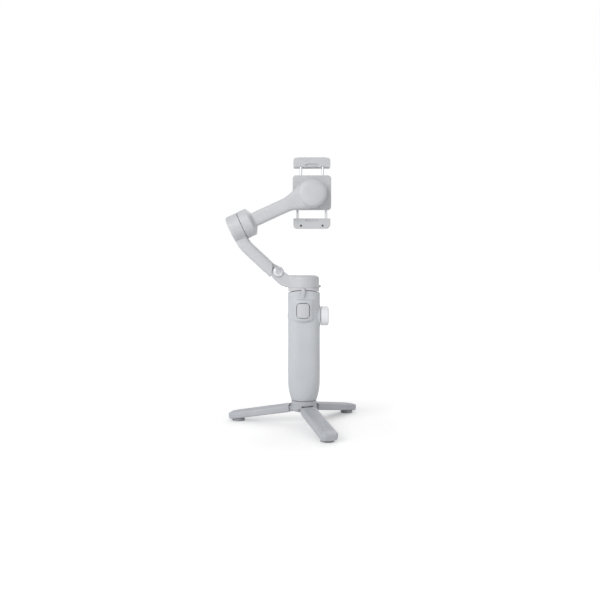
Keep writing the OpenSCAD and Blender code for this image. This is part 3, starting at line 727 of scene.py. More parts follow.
@dataclass
class Handle:
    """The handle's two shells, with the hump round the trigger and the pod of the controls."""

    half_depth: float = 17 * MM
    wall: float = 2.2 * MM
    taper: float = 104 * MM
    taper_half: float = 20.9 * MM
    base_radius: float = 15 * MM
    base_edge: float = 1.2 * MM
    crown: float = 64 * MM
    lift: float = 1.9 * MM
    squareness: float = 2.9
    gap: float = 0.45 * MM
    hump: float = 20.5 * MM
    hump_reach: tuple[float, float] = (8.5 * MM, 16 * MM)
    hump_span: tuple[float, float] = (6.2 * MM, 6 * MM)
    ledge_bow: float = 1.7 * MM
    pocket_floor: float = -11.8 * MM
    pocket_corner: float = 4.6 * MM
    pod_margin: float = 1.6 * MM
    boss_radius: float = 12.6 * MM
    grain_cell: float = 0.5 * MM

    def __post_init__(self) -> None:
        """Takes the handle's box and the places of its controls from the frame."""
        self.low, self.high = box("handle_front_shell", "handle_rear_shell")
        self.trigger_low, self.trigger_high = box("trigger_button")
        self.trigger = (self.trigger_low + self.trigger_high) / 2
        self.knob = Vector(JOINTS["knob_turn"]["pos_m"])
        self.half_width = -self.low.x
        self.high.z += self.lift

    def ring(self, height: float, inset: float) -> Ring:
        """Finds the handle's section at a height.

        Args:
            height: the height.
            inset: how far it is drawn in.

        Returns:
            The section.
        """
        shift = self.taper - self.taper_half
        widest = self.low.z + math.sqrt(self.taper ** 2 - (self.base_radius + shift) ** 2)
        below = widest - height
        if below > 0:
            bottom = math.sqrt(self.taper ** 2 - below ** 2) - shift
        else:
            bottom = self.taper_half - 2 * below
        lift = min(height - self.low.z - inset, self.base_edge)
        bottom -= self.base_edge - math.sqrt(self.base_edge ** 2 - (self.base_edge - lift) ** 2)
        halves = [soft_min(half, bottom) - inset for half in (self.half_width, self.half_depth)]
        power = 2 + (self.squareness - 2) * eased(height, self.low.z, widest)
        return Ring(Vector((0, 0, height)), X, Z, (halves[0], halves[1]), power)

    def form(self, name: str, inset: float, step: float, count: int) -> Shape:
        """Makes the form of the handle: outside with its hump, inside with its arched top.

        Args:
            name: the piece's name.
            inset: how far the form is drawn in.
            step: height between sections.
            count: points to a section.

        Returns:
            The solid.
        """
        start, end = self.low.z + inset, self.high.z + MM
        heights = [start + share * step for share in (0.0, 0.25, 0.5, 0.75)]
        heights += [start + turn * step for turn in range(1, int((end - start) / step))] + [end]
        form = Bench.loft(name, [self.ring(height, inset) for height in heights], count)
        if inset:
            return Bench.combine(form, Cut.KEEP, self.arch(inset))
        return Bench.shape(form, self.swell)

    def arch(self, inset: float) -> Shape:
        """Makes the arched block that rounds the handle's top.

        Args:
            inset: how far it is drawn in.

        Returns:
            The solid that the handle is kept within.
        """
        middle, reach = self.high.z - self.crown, self.crown - inset
        points = [(step * 0.5 * MM, middle + math.sqrt(reach ** 2 - (step * 0.5 * MM) ** 2))
                  for step in range(-60, 61)]
        points += [(30 * MM, 0), (-30 * MM, 0)]
        return Bench.outline("arch", points, -WIDE, WIDE)

    def swell(self, place: Vector) -> Vector:
        """Raises the hump round the trigger.

        Args:
            place: a point of the plain form.

        Returns:
            Where it goes.
        """
        low, high = self.trigger_low.z - self.hump_span[0], self.trigger_high.z + self.hump_span[1]
        low += self.ledge_bow * ((place.x - self.trigger.x) / (10 * MM)) ** 2
        share = eased(place.z, low, low + 3.4 * MM) * (1 - eased(place.z, high - 3 * MM, high))
        share *= 1 - eased(abs(place.x - self.trigger.x), *self.hump_reach)
        reach = math.hypot(place.x, place.y)
        if place.y >= 0 or reach >= self.hump or not share:
            return place
        grown = reach + (self.hump - reach) * share
        return Vector((place.x * grown / reach, place.y * grown / reach, place.z))

    def pocket(self) -> Shape:
        """Returns the cutter of the trigger's pocket."""
        width = self.trigger_high.x - self.trigger_low.x + 2 * self.gap
        height = self.trigger_high.z - self.trigger_low.z + 2 * self.gap
        cutter = Bench.prism("pocket", width, height, self.pocket_corner, 12 * MM)
        start = Vector((self.trigger.x, self.pocket_floor, self.trigger.z))
        return Bench.place(cutter, standing(start, -Y, X))

    def pod(self) -> Shape:
        """Returns the raised pod that holds the thumb controls."""
        low, high = box("control_panel")
        pod = Bench.prism("pod", high.x - low.x + 2 * self.pod_margin,
                          high.z - low.z + 2 * self.pod_margin, 3 * MM, self.high.y - 6 * MM)
        start = Vector(((low.x + high.x) / 2, 6 * MM, (low.z + high.z) / 2))
        return Bench.place(pod, standing(start, Y, X))

    def boss(self) -> Shape:
        """Returns the round boss under the side knob."""
        start = Vector((6 * MM, 0, self.knob.z))
        return Bench.rod("boss", start, Vector((self.high.x, 0, self.knob.z)),
                         self.boss_radius, 96)

    def openings(self) -> list[Shape]:
        """Returns the cutters of the panel's bed and of the small openings."""
        panel_low, panel_high = box("control_panel")
        bed = Bench.block("bed", panel_low - Vector((0.1, 0, 0.1)) * MM,
                          panel_high + Vector((0.1, 5, 0.1)) * MM)
        port_low, port_high = box("usb_port")
        port = Bench.block("port", port_low - Vector((3, 0.05, 0.05)) * MM,
                           port_high + Vector((0.3, 0.05, 0.05)) * MM)
        power_low, power_high = box("power_button")
        power = (power_low + power_high) / 2
        cutters = [bed, port, Bench.rod("power_hole", Vector((-0.03, 0, power.z)),
                                        Vector((-8 * MM, 0, power.z)), 4.35 * MM),
                   Bench.rod("shaft_hole", Vector((0.005, 0, self.knob.z)),
                             Vector((0.025, 0, self.knob.z)), 2.6 * MM),
                   Bench.pillar("tube_hole", self.high.z - 0.015, self.high.z + 0.01, 8.1 * MM),
                   Bench.pillar("cap_hole", self.low.z - 0.005, self.low.z + 0.008, 9 * MM)]
        for name, radius in (("joystick_cap", 5.2), ("record_button", 5.2), ("mode_button", 4)):
            low, high = box(name)
            middle = (low.z + high.z) / 2
            cutters.append(Bench.rod(name + "_hole", Vector((0, 0.008, middle)),
                                     Vector((0, 0.03, middle)), radius * MM))
        return cutters

    def build(self) -> None:
        """Makes and dresses both shells."""
        body = self.form("shell_body", 0.0, 1.0 * MM, 112)
        Bench.combine(body, Cut.ADD, self.boss(), self.pod())
        Bench.combine(body, Cut.AWAY, self.pocket())
        Bench.soften(body, self.grain_cell, 3)
        Bench.combine(body, Cut.KEEP, self.arch(0.0))
        Bench.combine(body, Cut.AWAY, self.form("cavity", self.wall, 4 * MM, 48),
                      *self.openings())
        rear = body.copy()
        rear.data = body.data.copy()
        bpy.context.scene.collection.objects.link(rear)
        for shell, name, side in ((body, "handle_front", -1), (rear, "handle_rear", 1)):
            reach = 0.06 * side
            half = Bench.block("half", (-0.05, min(0, reach), 0), (0.05, max(0, reach), 0.2))
            Bench.combine(shell, Cut.KEEP, half)
            shell.name = name
            Bench.smooth(shell)
            fit(shell, "handle", HANDLE_GREY, name + "_shell")


# ---------------------------------------------------------------- controls

@dataclass
class Controls:
    """The trigger, the side knob, the thumb panel and its buttons."""

    knob_edge: float = 2.2 * MM
    rim: float = 0.5 * MM
    light_radius: float = 1.1 * MM
    light_pitch: float = 2.7 * MM

    def trigger(self) -> None:
        """Makes the trigger, which follows the hump's curve."""
        low, high = box("trigger_button")
        middle = (low + high) / 2
        half = ((high.x - low.x) / 2, (high.z - low.z) / 2)
        key = Bench.capped("trigger", half, 5.2, high.y - low.y - 0.2 * MM, 1.1 * MM, 0.0, 96)
        reach = -low.y
        Bench.place(key, standing(Vector((middle.x, low.y, middle.z)), -Y, X))

        def follow(place: Vector) -> Vector:
            """Bends the trigger's face round the handle's axis."""
            sunk = reach - math.sqrt(reach ** 2 - place.x ** 2)
            share = 1 - eased(place.y, low.y + 2.5 * MM, high.y)
            return place + Vector((0, sunk * share, 0))

        Bench.shape(key, follow)
        Bench.smooth(key)
        fit(key, "trigger", ARM_GREY, "trigger_button")

    def knob(self) -> None:
        """Makes the side knob with its rounded edge and the fine groove in its face."""
        low, high = box("focus_knob")
        root, radius = JOINTS["knob_turn"]["pos_m"][0] + 0.6 * MM, (high.y - low.y) / 2
        length = high.x - root
        shaft = root - low.x
        stations = [(2.5 * MM, 0), (2.5 * MM, shaft), (radius - 0.7 * MM, shaft),
                    (radius - 0.15 * MM, shaft + 0.25 * MM), (radius, shaft + 0.9 * MM)]
        for turn in range(0, 91, 15):
            bend = math.radians(turn)
            stations.append((radius - self.knob_edge * (1 - math.cos(bend)) - 0.1 * MM,
                             shaft + length - self.knob_edge * (1 - math.sin(bend))))
        face = shaft + length
        for ring, drop in ((9.4, 0), (9.3, 0.1), (9.2, 0.55), (8.2, 0.55), (8.1, 0.1), (8, 0),
                           (5, 0.15), (2, 0.22), (0.6, 0.24)):
            stations.append((ring * MM, face - drop * MM))
        knob = Bench.turned("side_knob", stations, 128)
        Bench.place(knob, standing(Vector((low.x, 0, (low.z + high.z) / 2)), X, Y))
        Bench.smooth(knob, 50)
        fit(knob, "knob", PALE_GLOSS, "focus_knob")

    def key(self, name: str, node: str, body: str, finish: Finish, facing: Vector,
            dome: float) -> None:
        """Makes one round button.

        Args:
            name: the piece's name.
            node: the CAD node that it stands for.
            body: the body that it moves with.
            finish: its finish.
            facing: where its face points.
            dome: rise of its face; less than 0 dishes it.
        """
        low, high = box(node)
        across = Z if abs(facing.x) > 0.5 else X
        radius = (high.z - low.z) / 2
        sunk = facing * max(0.0, dome)
        face = Vector([(high if facing[axis] > 0 else low)[axis] if abs(facing[axis]) > 0.5
                       else (low[axis] + high[axis]) / 2 for axis in range(3)])
        depth = abs((high - low).dot(facing)) - max(0.0, dome)
        key = Bench.capped(name, (radius, radius), 2.0, depth, self.rim, dome)
        Bench.place(key, standing(face - sunk, facing, across))
        Bench.smooth(key)
        fit(key, body, finish, node)

    def joystick(self) -> None:
        """Makes the joystick's stem and its dished cap with a raised rim."""
        low, high = box("joystick_cap")
        radius, tall = (high.z - low.z) / 2, high.y - low.y
        stations = [(2.2 * MM, 0), (2.2 * MM, tall - 3.6 * MM), (4.5 * MM, tall - 3.2 * MM),
                    (radius - 0.6 * MM, tall - 2.7 * MM), (radius, tall - 1.9 * MM),
                    (radius, tall - 0.9 * MM), (radius - 0.25 * MM, tall - 0.3 * MM),
                    (radius - 0.8 * MM, tall), (radius - 1.5 * MM, tall - 0.15 * MM),
                    (radius - 2.2 * MM, tall - 0.8 * MM), (2.4 * MM, tall - 1.15 * MM),
                    (0.5 * MM, tall - 1.25 * MM)]
        cap = Bench.turned("joystick", stations, 96)
        Bench.place(cap, standing(Vector((0, low.y, (low.z + high.z) / 2)), Y, X))
        Bench.smooth(cap)
        fit(cap, "joystick", RUBBER, "joystick_cap")

    def panel(self) -> None:
        """Makes the thumb panel, with openings for its controls, and its four lights."""
        low, high = box("control_panel")
        middle = (low + high) / 2
        panel = Bench.prism("thumb_panel", high.x - low.x, high.z - low.z, 2.6 * MM,
                            high.y - low.y, 8)
        Bench.place(panel, standing(Vector((middle.x, low.y, middle.z)), Y, X))
        Bench.edges(panel, 0.35 * MM)
        cutters = []
        for node, radius in (("joystick_cap", 5.2), ("record_button", 5.15), ("mode_button", 3.95)):
            node_low, node_high = box(node)
            height = (node_low.z + node_high.z) / 2
            cutters.append(Bench.rod(node + "_opening", Vector((0, 0.01, height)),
                                     Vector((0, 0.03, height)), radius * MM, 96))
        light_low, light_high = box("status_lights")
        for row in range(4):
            height = light_low.z + self.light_radius + row * self.light_pitch
            cutters.append(Bench.rod(f"light_opening_{row}", Vector((0, 0.01, height)),
                                     Vector((0, 0.03, height)), 1.15 * MM, 48))
        Bench.combine(panel, Cut.AWAY, *cutters)
        Bench.smooth(panel, 30)
        fit(panel, "handle", DARK_SATIN, "control_panel")
        for row in range(4):
            light = Bench.capped(f"light_{row + 1}", (self.light_radius, self.light_radius), 2.0,
                                 light_high.y - light_low.y, 0.2 * MM, -0.05 * MM, 32)
            height = light_low.z + self.light_radius + row * self.light_pitch
            Bench.place(light, standing(Vector((0, light_high.y, height)), Y, X))
            Bench.smooth(light)
            fit(light, "handle", LIGHT_LENS, *(() if row else ("status_lights",)))

    def build(self) -> None:
        """Makes and dresses every control."""
        self.trigger()
        self.knob()
        self.panel()
        self.joystick()
        self.key("record_key", "record_button", "record_button", RECORD_RED, Y, 0.25 * MM)
        self.key("mode_key", "mode_button", "mode_button", DARK_SATIN, Y, -0.15 * MM)
        self.key("power_key", "power_button", "power_button", PALE_GLOSS, -X, 0.2 * MM)


# ---------------------------------------------------------------- head and arms

PIN_HOLE = 2.6 * MM  # radius of the fold pin's hole


@dataclass
class Head:
    """The collar on the rod, the pan housing with its stub and the pin that the arm folds on."""

    collar_half: tuple[float, float] = (18.75 * MM, 18.3 * MM)
    collar_aside: float = -0.15 * MM
    crown: float = 76 * MM
    slit: float = 0.65 * MM
    dome_edge: float = 5 * MM
    dome_height: float = 14.75 * MM
    stub_half: float = 8 * MM
    slot_half: float = 4.4 * MM
    ear: float = 7 * MM
    cell: float = 0.45 * MM
    close: float = 0.19 * MM
    key_length: float = 12.0 * MM
    key_aside: float = -0.8 * MM

    def __post_init__(self) -> None:
        """Takes the pin, the seam and the housing's box from the frame."""
        self.pin = Vector(JOINTS["arm_fold"]["pos_m"])
        self.low, self.high = box("pan_housing")
        self.radius = self.high.y
        self.handle_top = box("handle_front_shell")[1].z + Handle.lift
        self.dome_top = self.low.z + self.dome_height
        self.low.z -= self.close

    def collar(self) -> None:
        """Makes the collar that closes the handle's arched top, and its front key."""
        low, high = box("rod_head_collar")
        high.z += self.close
        start = self.handle_top - 5 * MM
        tall = high.z - start
        rings = [Ring(Vector((self.collar_aside, 0, start + share * tall)), X, Z,
                      self.collar_half, 2.3) for share in (0, 1)]
        collar = Bench.loft("collar", rings, 160)
        middle = self.handle_top + self.slit - self.crown
        arch = Bench.crossbar("arch", Vector((0, 0, middle)), WIDE, self.crown, 480)
        bore = Bench.pillar("bore", start - MM, high.z - 2 * MM, 5.95 * MM)
        Bench.combine(collar, Cut.AWAY, arch, bore)
        Bench.edges(collar, 0.12 * MM, 2, 60)
        self.front_key(low.y, high.z)
        Bench.smooth(collar)
        fit(collar, "rod_head", ARM_GREY, "rod_head_collar")

    def front_key(self, front: float, top: float) -> None:
        """Makes the drop-shaped key that hangs from the collar over the seam.

        Args:
            front: how far forward it reaches.
            top: height of its top.
        """
        rings = []
        for share, half, proud in ((0, 1.6, 0.9), (0.02, 1.75, 1.0), (0.2, 1.8, 1.0),
                                   (0.28, 2.3, 1.05), (0.36, 2.45, 1.05), (0.46, 2.15, 1.0),
                                   (0.6, 1.6, 0.85), (0.74, 1.1, 0.65), (0.87, 0.65, 0.4),
                                   (0.96, 0.3, 0.25), (1.0, 0.12, 0.12)):
            height = top - 0.05 * MM - share * self.key_length
            back = front + 2.0 * MM
            rings.append(Ring(Vector((self.key_aside, back - proud * MM, height)), X, -Z,
                              (half * MM, proud * MM), 2.6))
        key = Bench.loft("front_key", rings, 48)
        Bench.smooth(key, 60)
        fit(key, "rod_head", ARM_GREY)

    def stub(self) -> Shape:
        """Returns the arm that reaches from the housing to the fold pin."""
        base, top, pin = self.low.z - MM, self.dome_top - 0.2 * MM, self.pin
        offsets = [(6.3, 0.6), (3.4, 6.1), (-0.4, 7.0), (-4.2, 5.6), (-6.7, 2.0), (-6.9, -1.2),
                   (-8.0, -3.4), (-7.2, -6.4), (-3.9, -9.9), (0.6, -14.2), (3.5, -16)]
        points = [(-9 * MM, top), (-17.5 * MM, top + 0.2 * MM)]
        points += [(pin.x + x * MM, pin.z + z * MM) for x, z in offsets]
        points += [(-self.radius, base), (-9 * MM, base)]
        return Bench.outline("stub", points, -self.stub_half, self.stub_half)

    def housing(self) -> None:
        """Makes the pan housing: a low dome, the stub with its two ears and the side nub."""
        tall = self.dome_top - self.low.z
        stations = [(self.radius, -MM), (self.radius, tall - self.dome_edge)]
        for turn in range(9, 91, 9):
            bend = math.radians(turn)
            stations.append((self.radius - self.dome_edge * (1 - math.cos(bend)),
                             tall - self.dome_edge * (1 - math.sin(bend))))
        stations.append((4 * MM, tall))
        housing = Bench.place(Bench.turned("pan_shell", stations, 144),
                              Matrix.Translation((0, 0, self.low.z)))
        nub = Bench.block("nub", (self.radius - MM, -2 * MM, self.low.z - MM),
                          (self.high.x, 2 * MM, self.low.z + 2.8 * MM))
        Bench.combine(housing, Cut.ADD, self.stub(), nub)
        Bench.soften(housing, self.cell, 5)
        pin = self.pin
        slot = Bench.crossbar("slot", pin, self.slot_half, self.ear + 0.4 * MM, 96)
        upper = Bench.block("upper", (pin.x - 0.02, -self.slot_half, pin.z),
                            (pin.x + self.ear + 0.4 * MM, self.slot_half, pin.z + 0.02))
        outer = Bench.block("outer", (pin.x - 0.02, -self.slot_half, pin.z - 7 * MM),
                            (pin.x, self.slot_half, pin.z + 0.013))
        cup = Bench.pillar("cup", self.low.z - MM, self.dome_top - 1.8 * MM,
                           self.radius - 2.8 * MM, 96)
        hole = Bench.crossbar("hole", pin, THROUGH, PIN_HOLE)
        under = Bench.block("under", (-0.05, -0.05, self.low.z - 0.02), (0.05, 0.05, self.low.z))
        Bench.combine(housing, Cut.AWAY, slot, upper, outer, cup, hole, under)
        Bench.smooth(housing)
        fit(housing, "pan_unit", ARM_GREY, "pan_housing")

    def pins(self) -> None:
        """Makes the turned pin with its hexagon recess, and its nut."""
        low, high = box("fold_pin")
        radius = (high.z - low.z) / 2
        seat = high.y + self.stub_half
        stations = [(2.5 * MM, 0), (2.5 * MM, seat), (radius - 0.2 * MM, seat),
                    (radius, seat + 0.2 * MM), (radius, high.y - low.y - 0.7 * MM),
                    (radius - 0.15 * MM, high.y - low.y - 0.3 * MM),
                    (radius - 0.5 * MM, high.y - low.y - 0.1 * MM),
                    (radius - 0.9 * MM, high.y - low.y - 0.35 * MM),
                    (3.2 * MM, high.y - low.y - 0.05 * MM), (2.6 * MM, high.y - low.y)]
        pin = Bench.turned("fold_pin_head", stations, 128)
        Bench.place(pin, standing(Vector((self.pin.x, high.y, self.pin.z)), -Y, X))
        socket = Bench.rod("socket", Vector((self.pin.x, low.y - MM, self.pin.z)),
                           Vector((self.pin.x, low.y + 1.2 * MM, self.pin.z)), 2 * MM, 6)
        Bench.combine(pin, Cut.AWAY, socket)
        Bench.smooth(pin, 30)
        fit(pin, "pan_unit", PIN_STEEL, "fold_pin")
        low, high = box("fold_pin_nut")
        radius, tall = (high.z - low.z) / 2, high.y - low.y
        nut = Bench.turned("fold_nut", [(2.55 * MM, 0), (radius, 0), (radius, tall - 0.4 * MM),
                                        (radius - 0.4 * MM, tall), (3.2 * MM, tall),
                                        (3.0 * MM, tall - 0.2 * MM), (0.8 * MM, tall - 0.2 * MM)])
        Bench.place(nut, standing(Vector((self.pin.x, low.y, self.pin.z)), Y, X))
        Bench.smooth(nut, 30)
        fit(nut, "pan_unit", PIN_STEEL, "fold_pin_nut")

    def build(self) -> None:
        """Makes and dresses the head."""
        self.collar()
        self.housing()
        self.pins()


@dataclass
class Arms:
    """The lower arm with the tilt housing, and the upper arm with the roll housing."""

    lower_half: tuple[float, float] = (7.65 * MM, 8.5 * MM)
    lean: float = 43.0
    straight: float = 50.2 * MM
    bend_reach: float = 9 * MM
    cut_aside: float = 6.6 * MM
    notch: float = 7.45 * MM
    tilt_radius: float = 16.8 * MM
    tilt_depth: float = 15.6 * MM
    cap_radius: float = 17.0 * MM
    cap_length: float = 11.9 * MM
    cone_end: float = 15.8 * MM
    upper_half: tuple[float, float] = (8.5 * MM, 6.5 * MM)
    upper_middle: float = -3 * MM
    roll_radius: float = 17.4 * MM
    roll_front: float = -13.75 * MM
    roll_seam: float = 3.7 * MM
    dome: float = 7.5 * MM
    seam: float = 0.25 * MM
    cell: float = 0.5 * MM

    def __post_init__(self) -> None:
        """Takes the three axes of the arms from the frame."""
        self.pin = Vector(JOINTS["arm_fold"]["pos_m"])
        self.tilt = Vector(JOINTS["tilt"]["pos_m"])
        self.tilt_axis = Vector(JOINTS["tilt"]["axis"]).normalized()
        if self.tilt_axis.x < 0:
            self.tilt_axis = -self.tilt_axis
        self.roll = Vector(JOINTS["roll"]["pos_m"])
        self.tilt.y = self.roll.y = 0.0
        self.reach = (self.roll - self.tilt).dot(self.tilt_axis)
        self.up = Y.cross(self.tilt_axis) * -1

    def curve(self, share: float) -> Vector:
        """Follows the lower arm from near its pin to the tilt housing.

        Args:
            share: how far along, from 0 to 1.

        Returns:
            The middle of the arm there.
        """
        lean = math.radians(self.lean)
        way = Vector((-math.cos(lean), 0, math.sin(lean)))
        side = Vector((math.sin(lean), 0, math.cos(lean)))
        near = self.pin - side * 3.65 * MM + way * 3 * MM
        bend = near + way * self.straight
        end = self.tilt - self.tilt_axis * self.tilt_depth / 2 - self.up * 4 * MM
        start = bend - way * self.bend_reach
        past = bend + (end - bend).normalized() * self.bend_reach
        runs = [(start - near).length, self.bend_reach * 2, (end - past).length]
        gone = share * sum(runs)
        if gone < runs[0]:
            return near + way * gone
        if gone < runs[0] + runs[1]:
            turn = (gone - runs[0]) / runs[1]
            return start.lerp(bend, turn).lerp(bend.lerp(past, turn), turn)
        return past + (end - past).normalized() * (gone - runs[0] - runs[1])

    def lower(self) -> None:
        """Makes the lower arm: tongue, curved arm and tilt housing in one moulding."""
        rings = []
        steps = 40
        for step in range(steps + 1):
            share = step / steps
            here, ahead = self.curve(share), self.curve(min(1.0, share + 0.01))
            behind = self.curve(max(0.0, share - 0.01))
            along = (ahead - behind).normalized()
            rings.append(Ring(here, Y, along, (self.lower_half[1], self.lower_half[0]), 3.6))
        arm = Bench.loft("lower_arm", rings, 72)
        back = self.tilt - self.tilt_axis * self.tilt_depth
        stations = [(13.6 * MM, 0), (15.4 * MM, 0.4 * MM), (16.3 * MM, 1.2 * MM),
                    (16.7 * MM, 2.3 * MM), (self.tilt_radius, 3.4 * MM),
                    (self.tilt_radius, self.tilt_depth - self.seam)]
        housing = Bench.place(Bench.turned("tilt_housing", stations, 128),
                              standing(back, self.tilt_axis, Y))
        trim = Bench.block("trim", (self.pin.x - self.cut_aside, -0.02, self.pin.z - 0.02),
                           (self.pin.x + 0.03, 0.02, self.pin.z + 0.03))
        Bench.combine(arm, Cut.AWAY, trim)
        Bench.combine(arm, Cut.ADD, housing)
        Bench.soften(arm, self.cell, 6)
        pin = self.pin
        notch = Bench.crossbar("notch", pin, THROUGH, self.notch, 96)
        cup = Bench.rod("cup", self.tilt - self.tilt_axis * (self.tilt_depth - 1.8 * MM),
                        self.tilt + self.tilt_axis * 0.01, self.tilt_radius - 2 * MM, 96)
        Bench.combine(arm, Cut.AWAY, notch, cup)
        tongue = Bench.crossbar("tongue", pin, 4 * MM, 6.5 * MM, 96)
        root = self.curve(0.16)
        neck = Bench.place(Bench.prism("neck", 13 * MM, 8 * MM, MM, (root - pin).length),
                           standing(pin, root - pin, Y.cross(root - pin)))
        hole = Bench.crossbar("hole", pin, THROUGH, PIN_HOLE)
        Bench.combine(arm, Cut.ADD, tongue, neck)
        Bench.combine(arm, Cut.AWAY, hole)
        Bench.smooth(arm)
        fit(arm, "lower_arm", ARM_GREY, "lower_arm_shell", "lower_arm_cover")

    def width(self, along: float) -> tuple[float, float]:
        """Finds the upper arm's half widths, which open out into the roll housing.

        Args:
            along: distance from the tilt seam.

        Returns:
            Half of the width seen from the front, and half of the depth.
        """
        flare = eased(along, self.reach - 36 * MM, self.reach - 4 * MM) ** 1.15
        half = self.upper_half[0] + (self.roll_radius - MM - self.upper_half[0]) * flare
        return half, self.upper_half[1]

    def upper(self) -> None:
        """Makes the upper arm: rotor cap, bar and domed roll housing in one moulding."""
        rings = []
        for step in range(31):
            along = 12 * MM + (self.reach - 12 * MM) * step / 30
            half, deep = self.width(along)
            centre = self.tilt + self.tilt_axis * along + Y * self.upper_middle
            rings.append(Ring(centre, Y, self.tilt_axis, (deep, half), 3.4))
        arm = Bench.loft("upper_arm", rings, 72)
        stations = [(self.cap_radius - 0.3 * MM, 0), (self.cap_radius, 0.5 * MM),
                    (self.cap_radius, self.cap_length - 1.0 * MM),
                    (self.cap_radius - 0.12 * MM, self.cap_length - 0.4 * MM),
                    (self.cap_radius - 0.5 * MM, self.cap_length),
                    (self.cap_radius - 1.0 * MM, self.cap_length + 0.3 * MM),
                    (9.3 * MM, self.cone_end), (7 * MM, self.cone_end + 0.5 * MM)]
        stations = [(radius, max(0, height - self.seam)) for radius, height in stations]
        cap = Bench.place(Bench.turned("rotor_cap", stations, 128),
                          standing(self.tilt + self.tilt_axis * self.seam, self.tilt_axis, Y))
        radius, deep = self.roll_radius, self.roll_seam - self.roll_front
        stations = [(radius, 0)]
        for turn in range(0, 88, 4):
            bend = math.radians(turn)
            stations.append((radius * math.cos(bend) ** 0.625,
                             deep - self.dome * (1 - math.sin(bend) ** 0.625)))
        disc = Bench.place(Bench.turned("roll_housing", stations, 144),
                           standing(self.roll + Y * self.roll_seam, -Y, X))
        Bench.combine(arm, Cut.ADD, disc)
        Bench.soften(arm, self.cell, 9)
        cup = Bench.rod("cup", self.roll + Y * (self.roll_front + 2.25 * MM),
                        self.roll + Y * 0.02, radius - 2.5 * MM, 96)
        Bench.combine(arm, Cut.AWAY, cup)
        Bench.combine(arm, Cut.ADD, cap)
        Bench.smooth(arm)
        fit(arm, "upper_arm", ARM_GREY, "upper_arm_shell", "upper_arm_cover")

    def build(self) -> None:
        """Makes and dresses both arms."""
        self.lower()
        self.upper()


# ---------------------------------------------------------------- phone clamp

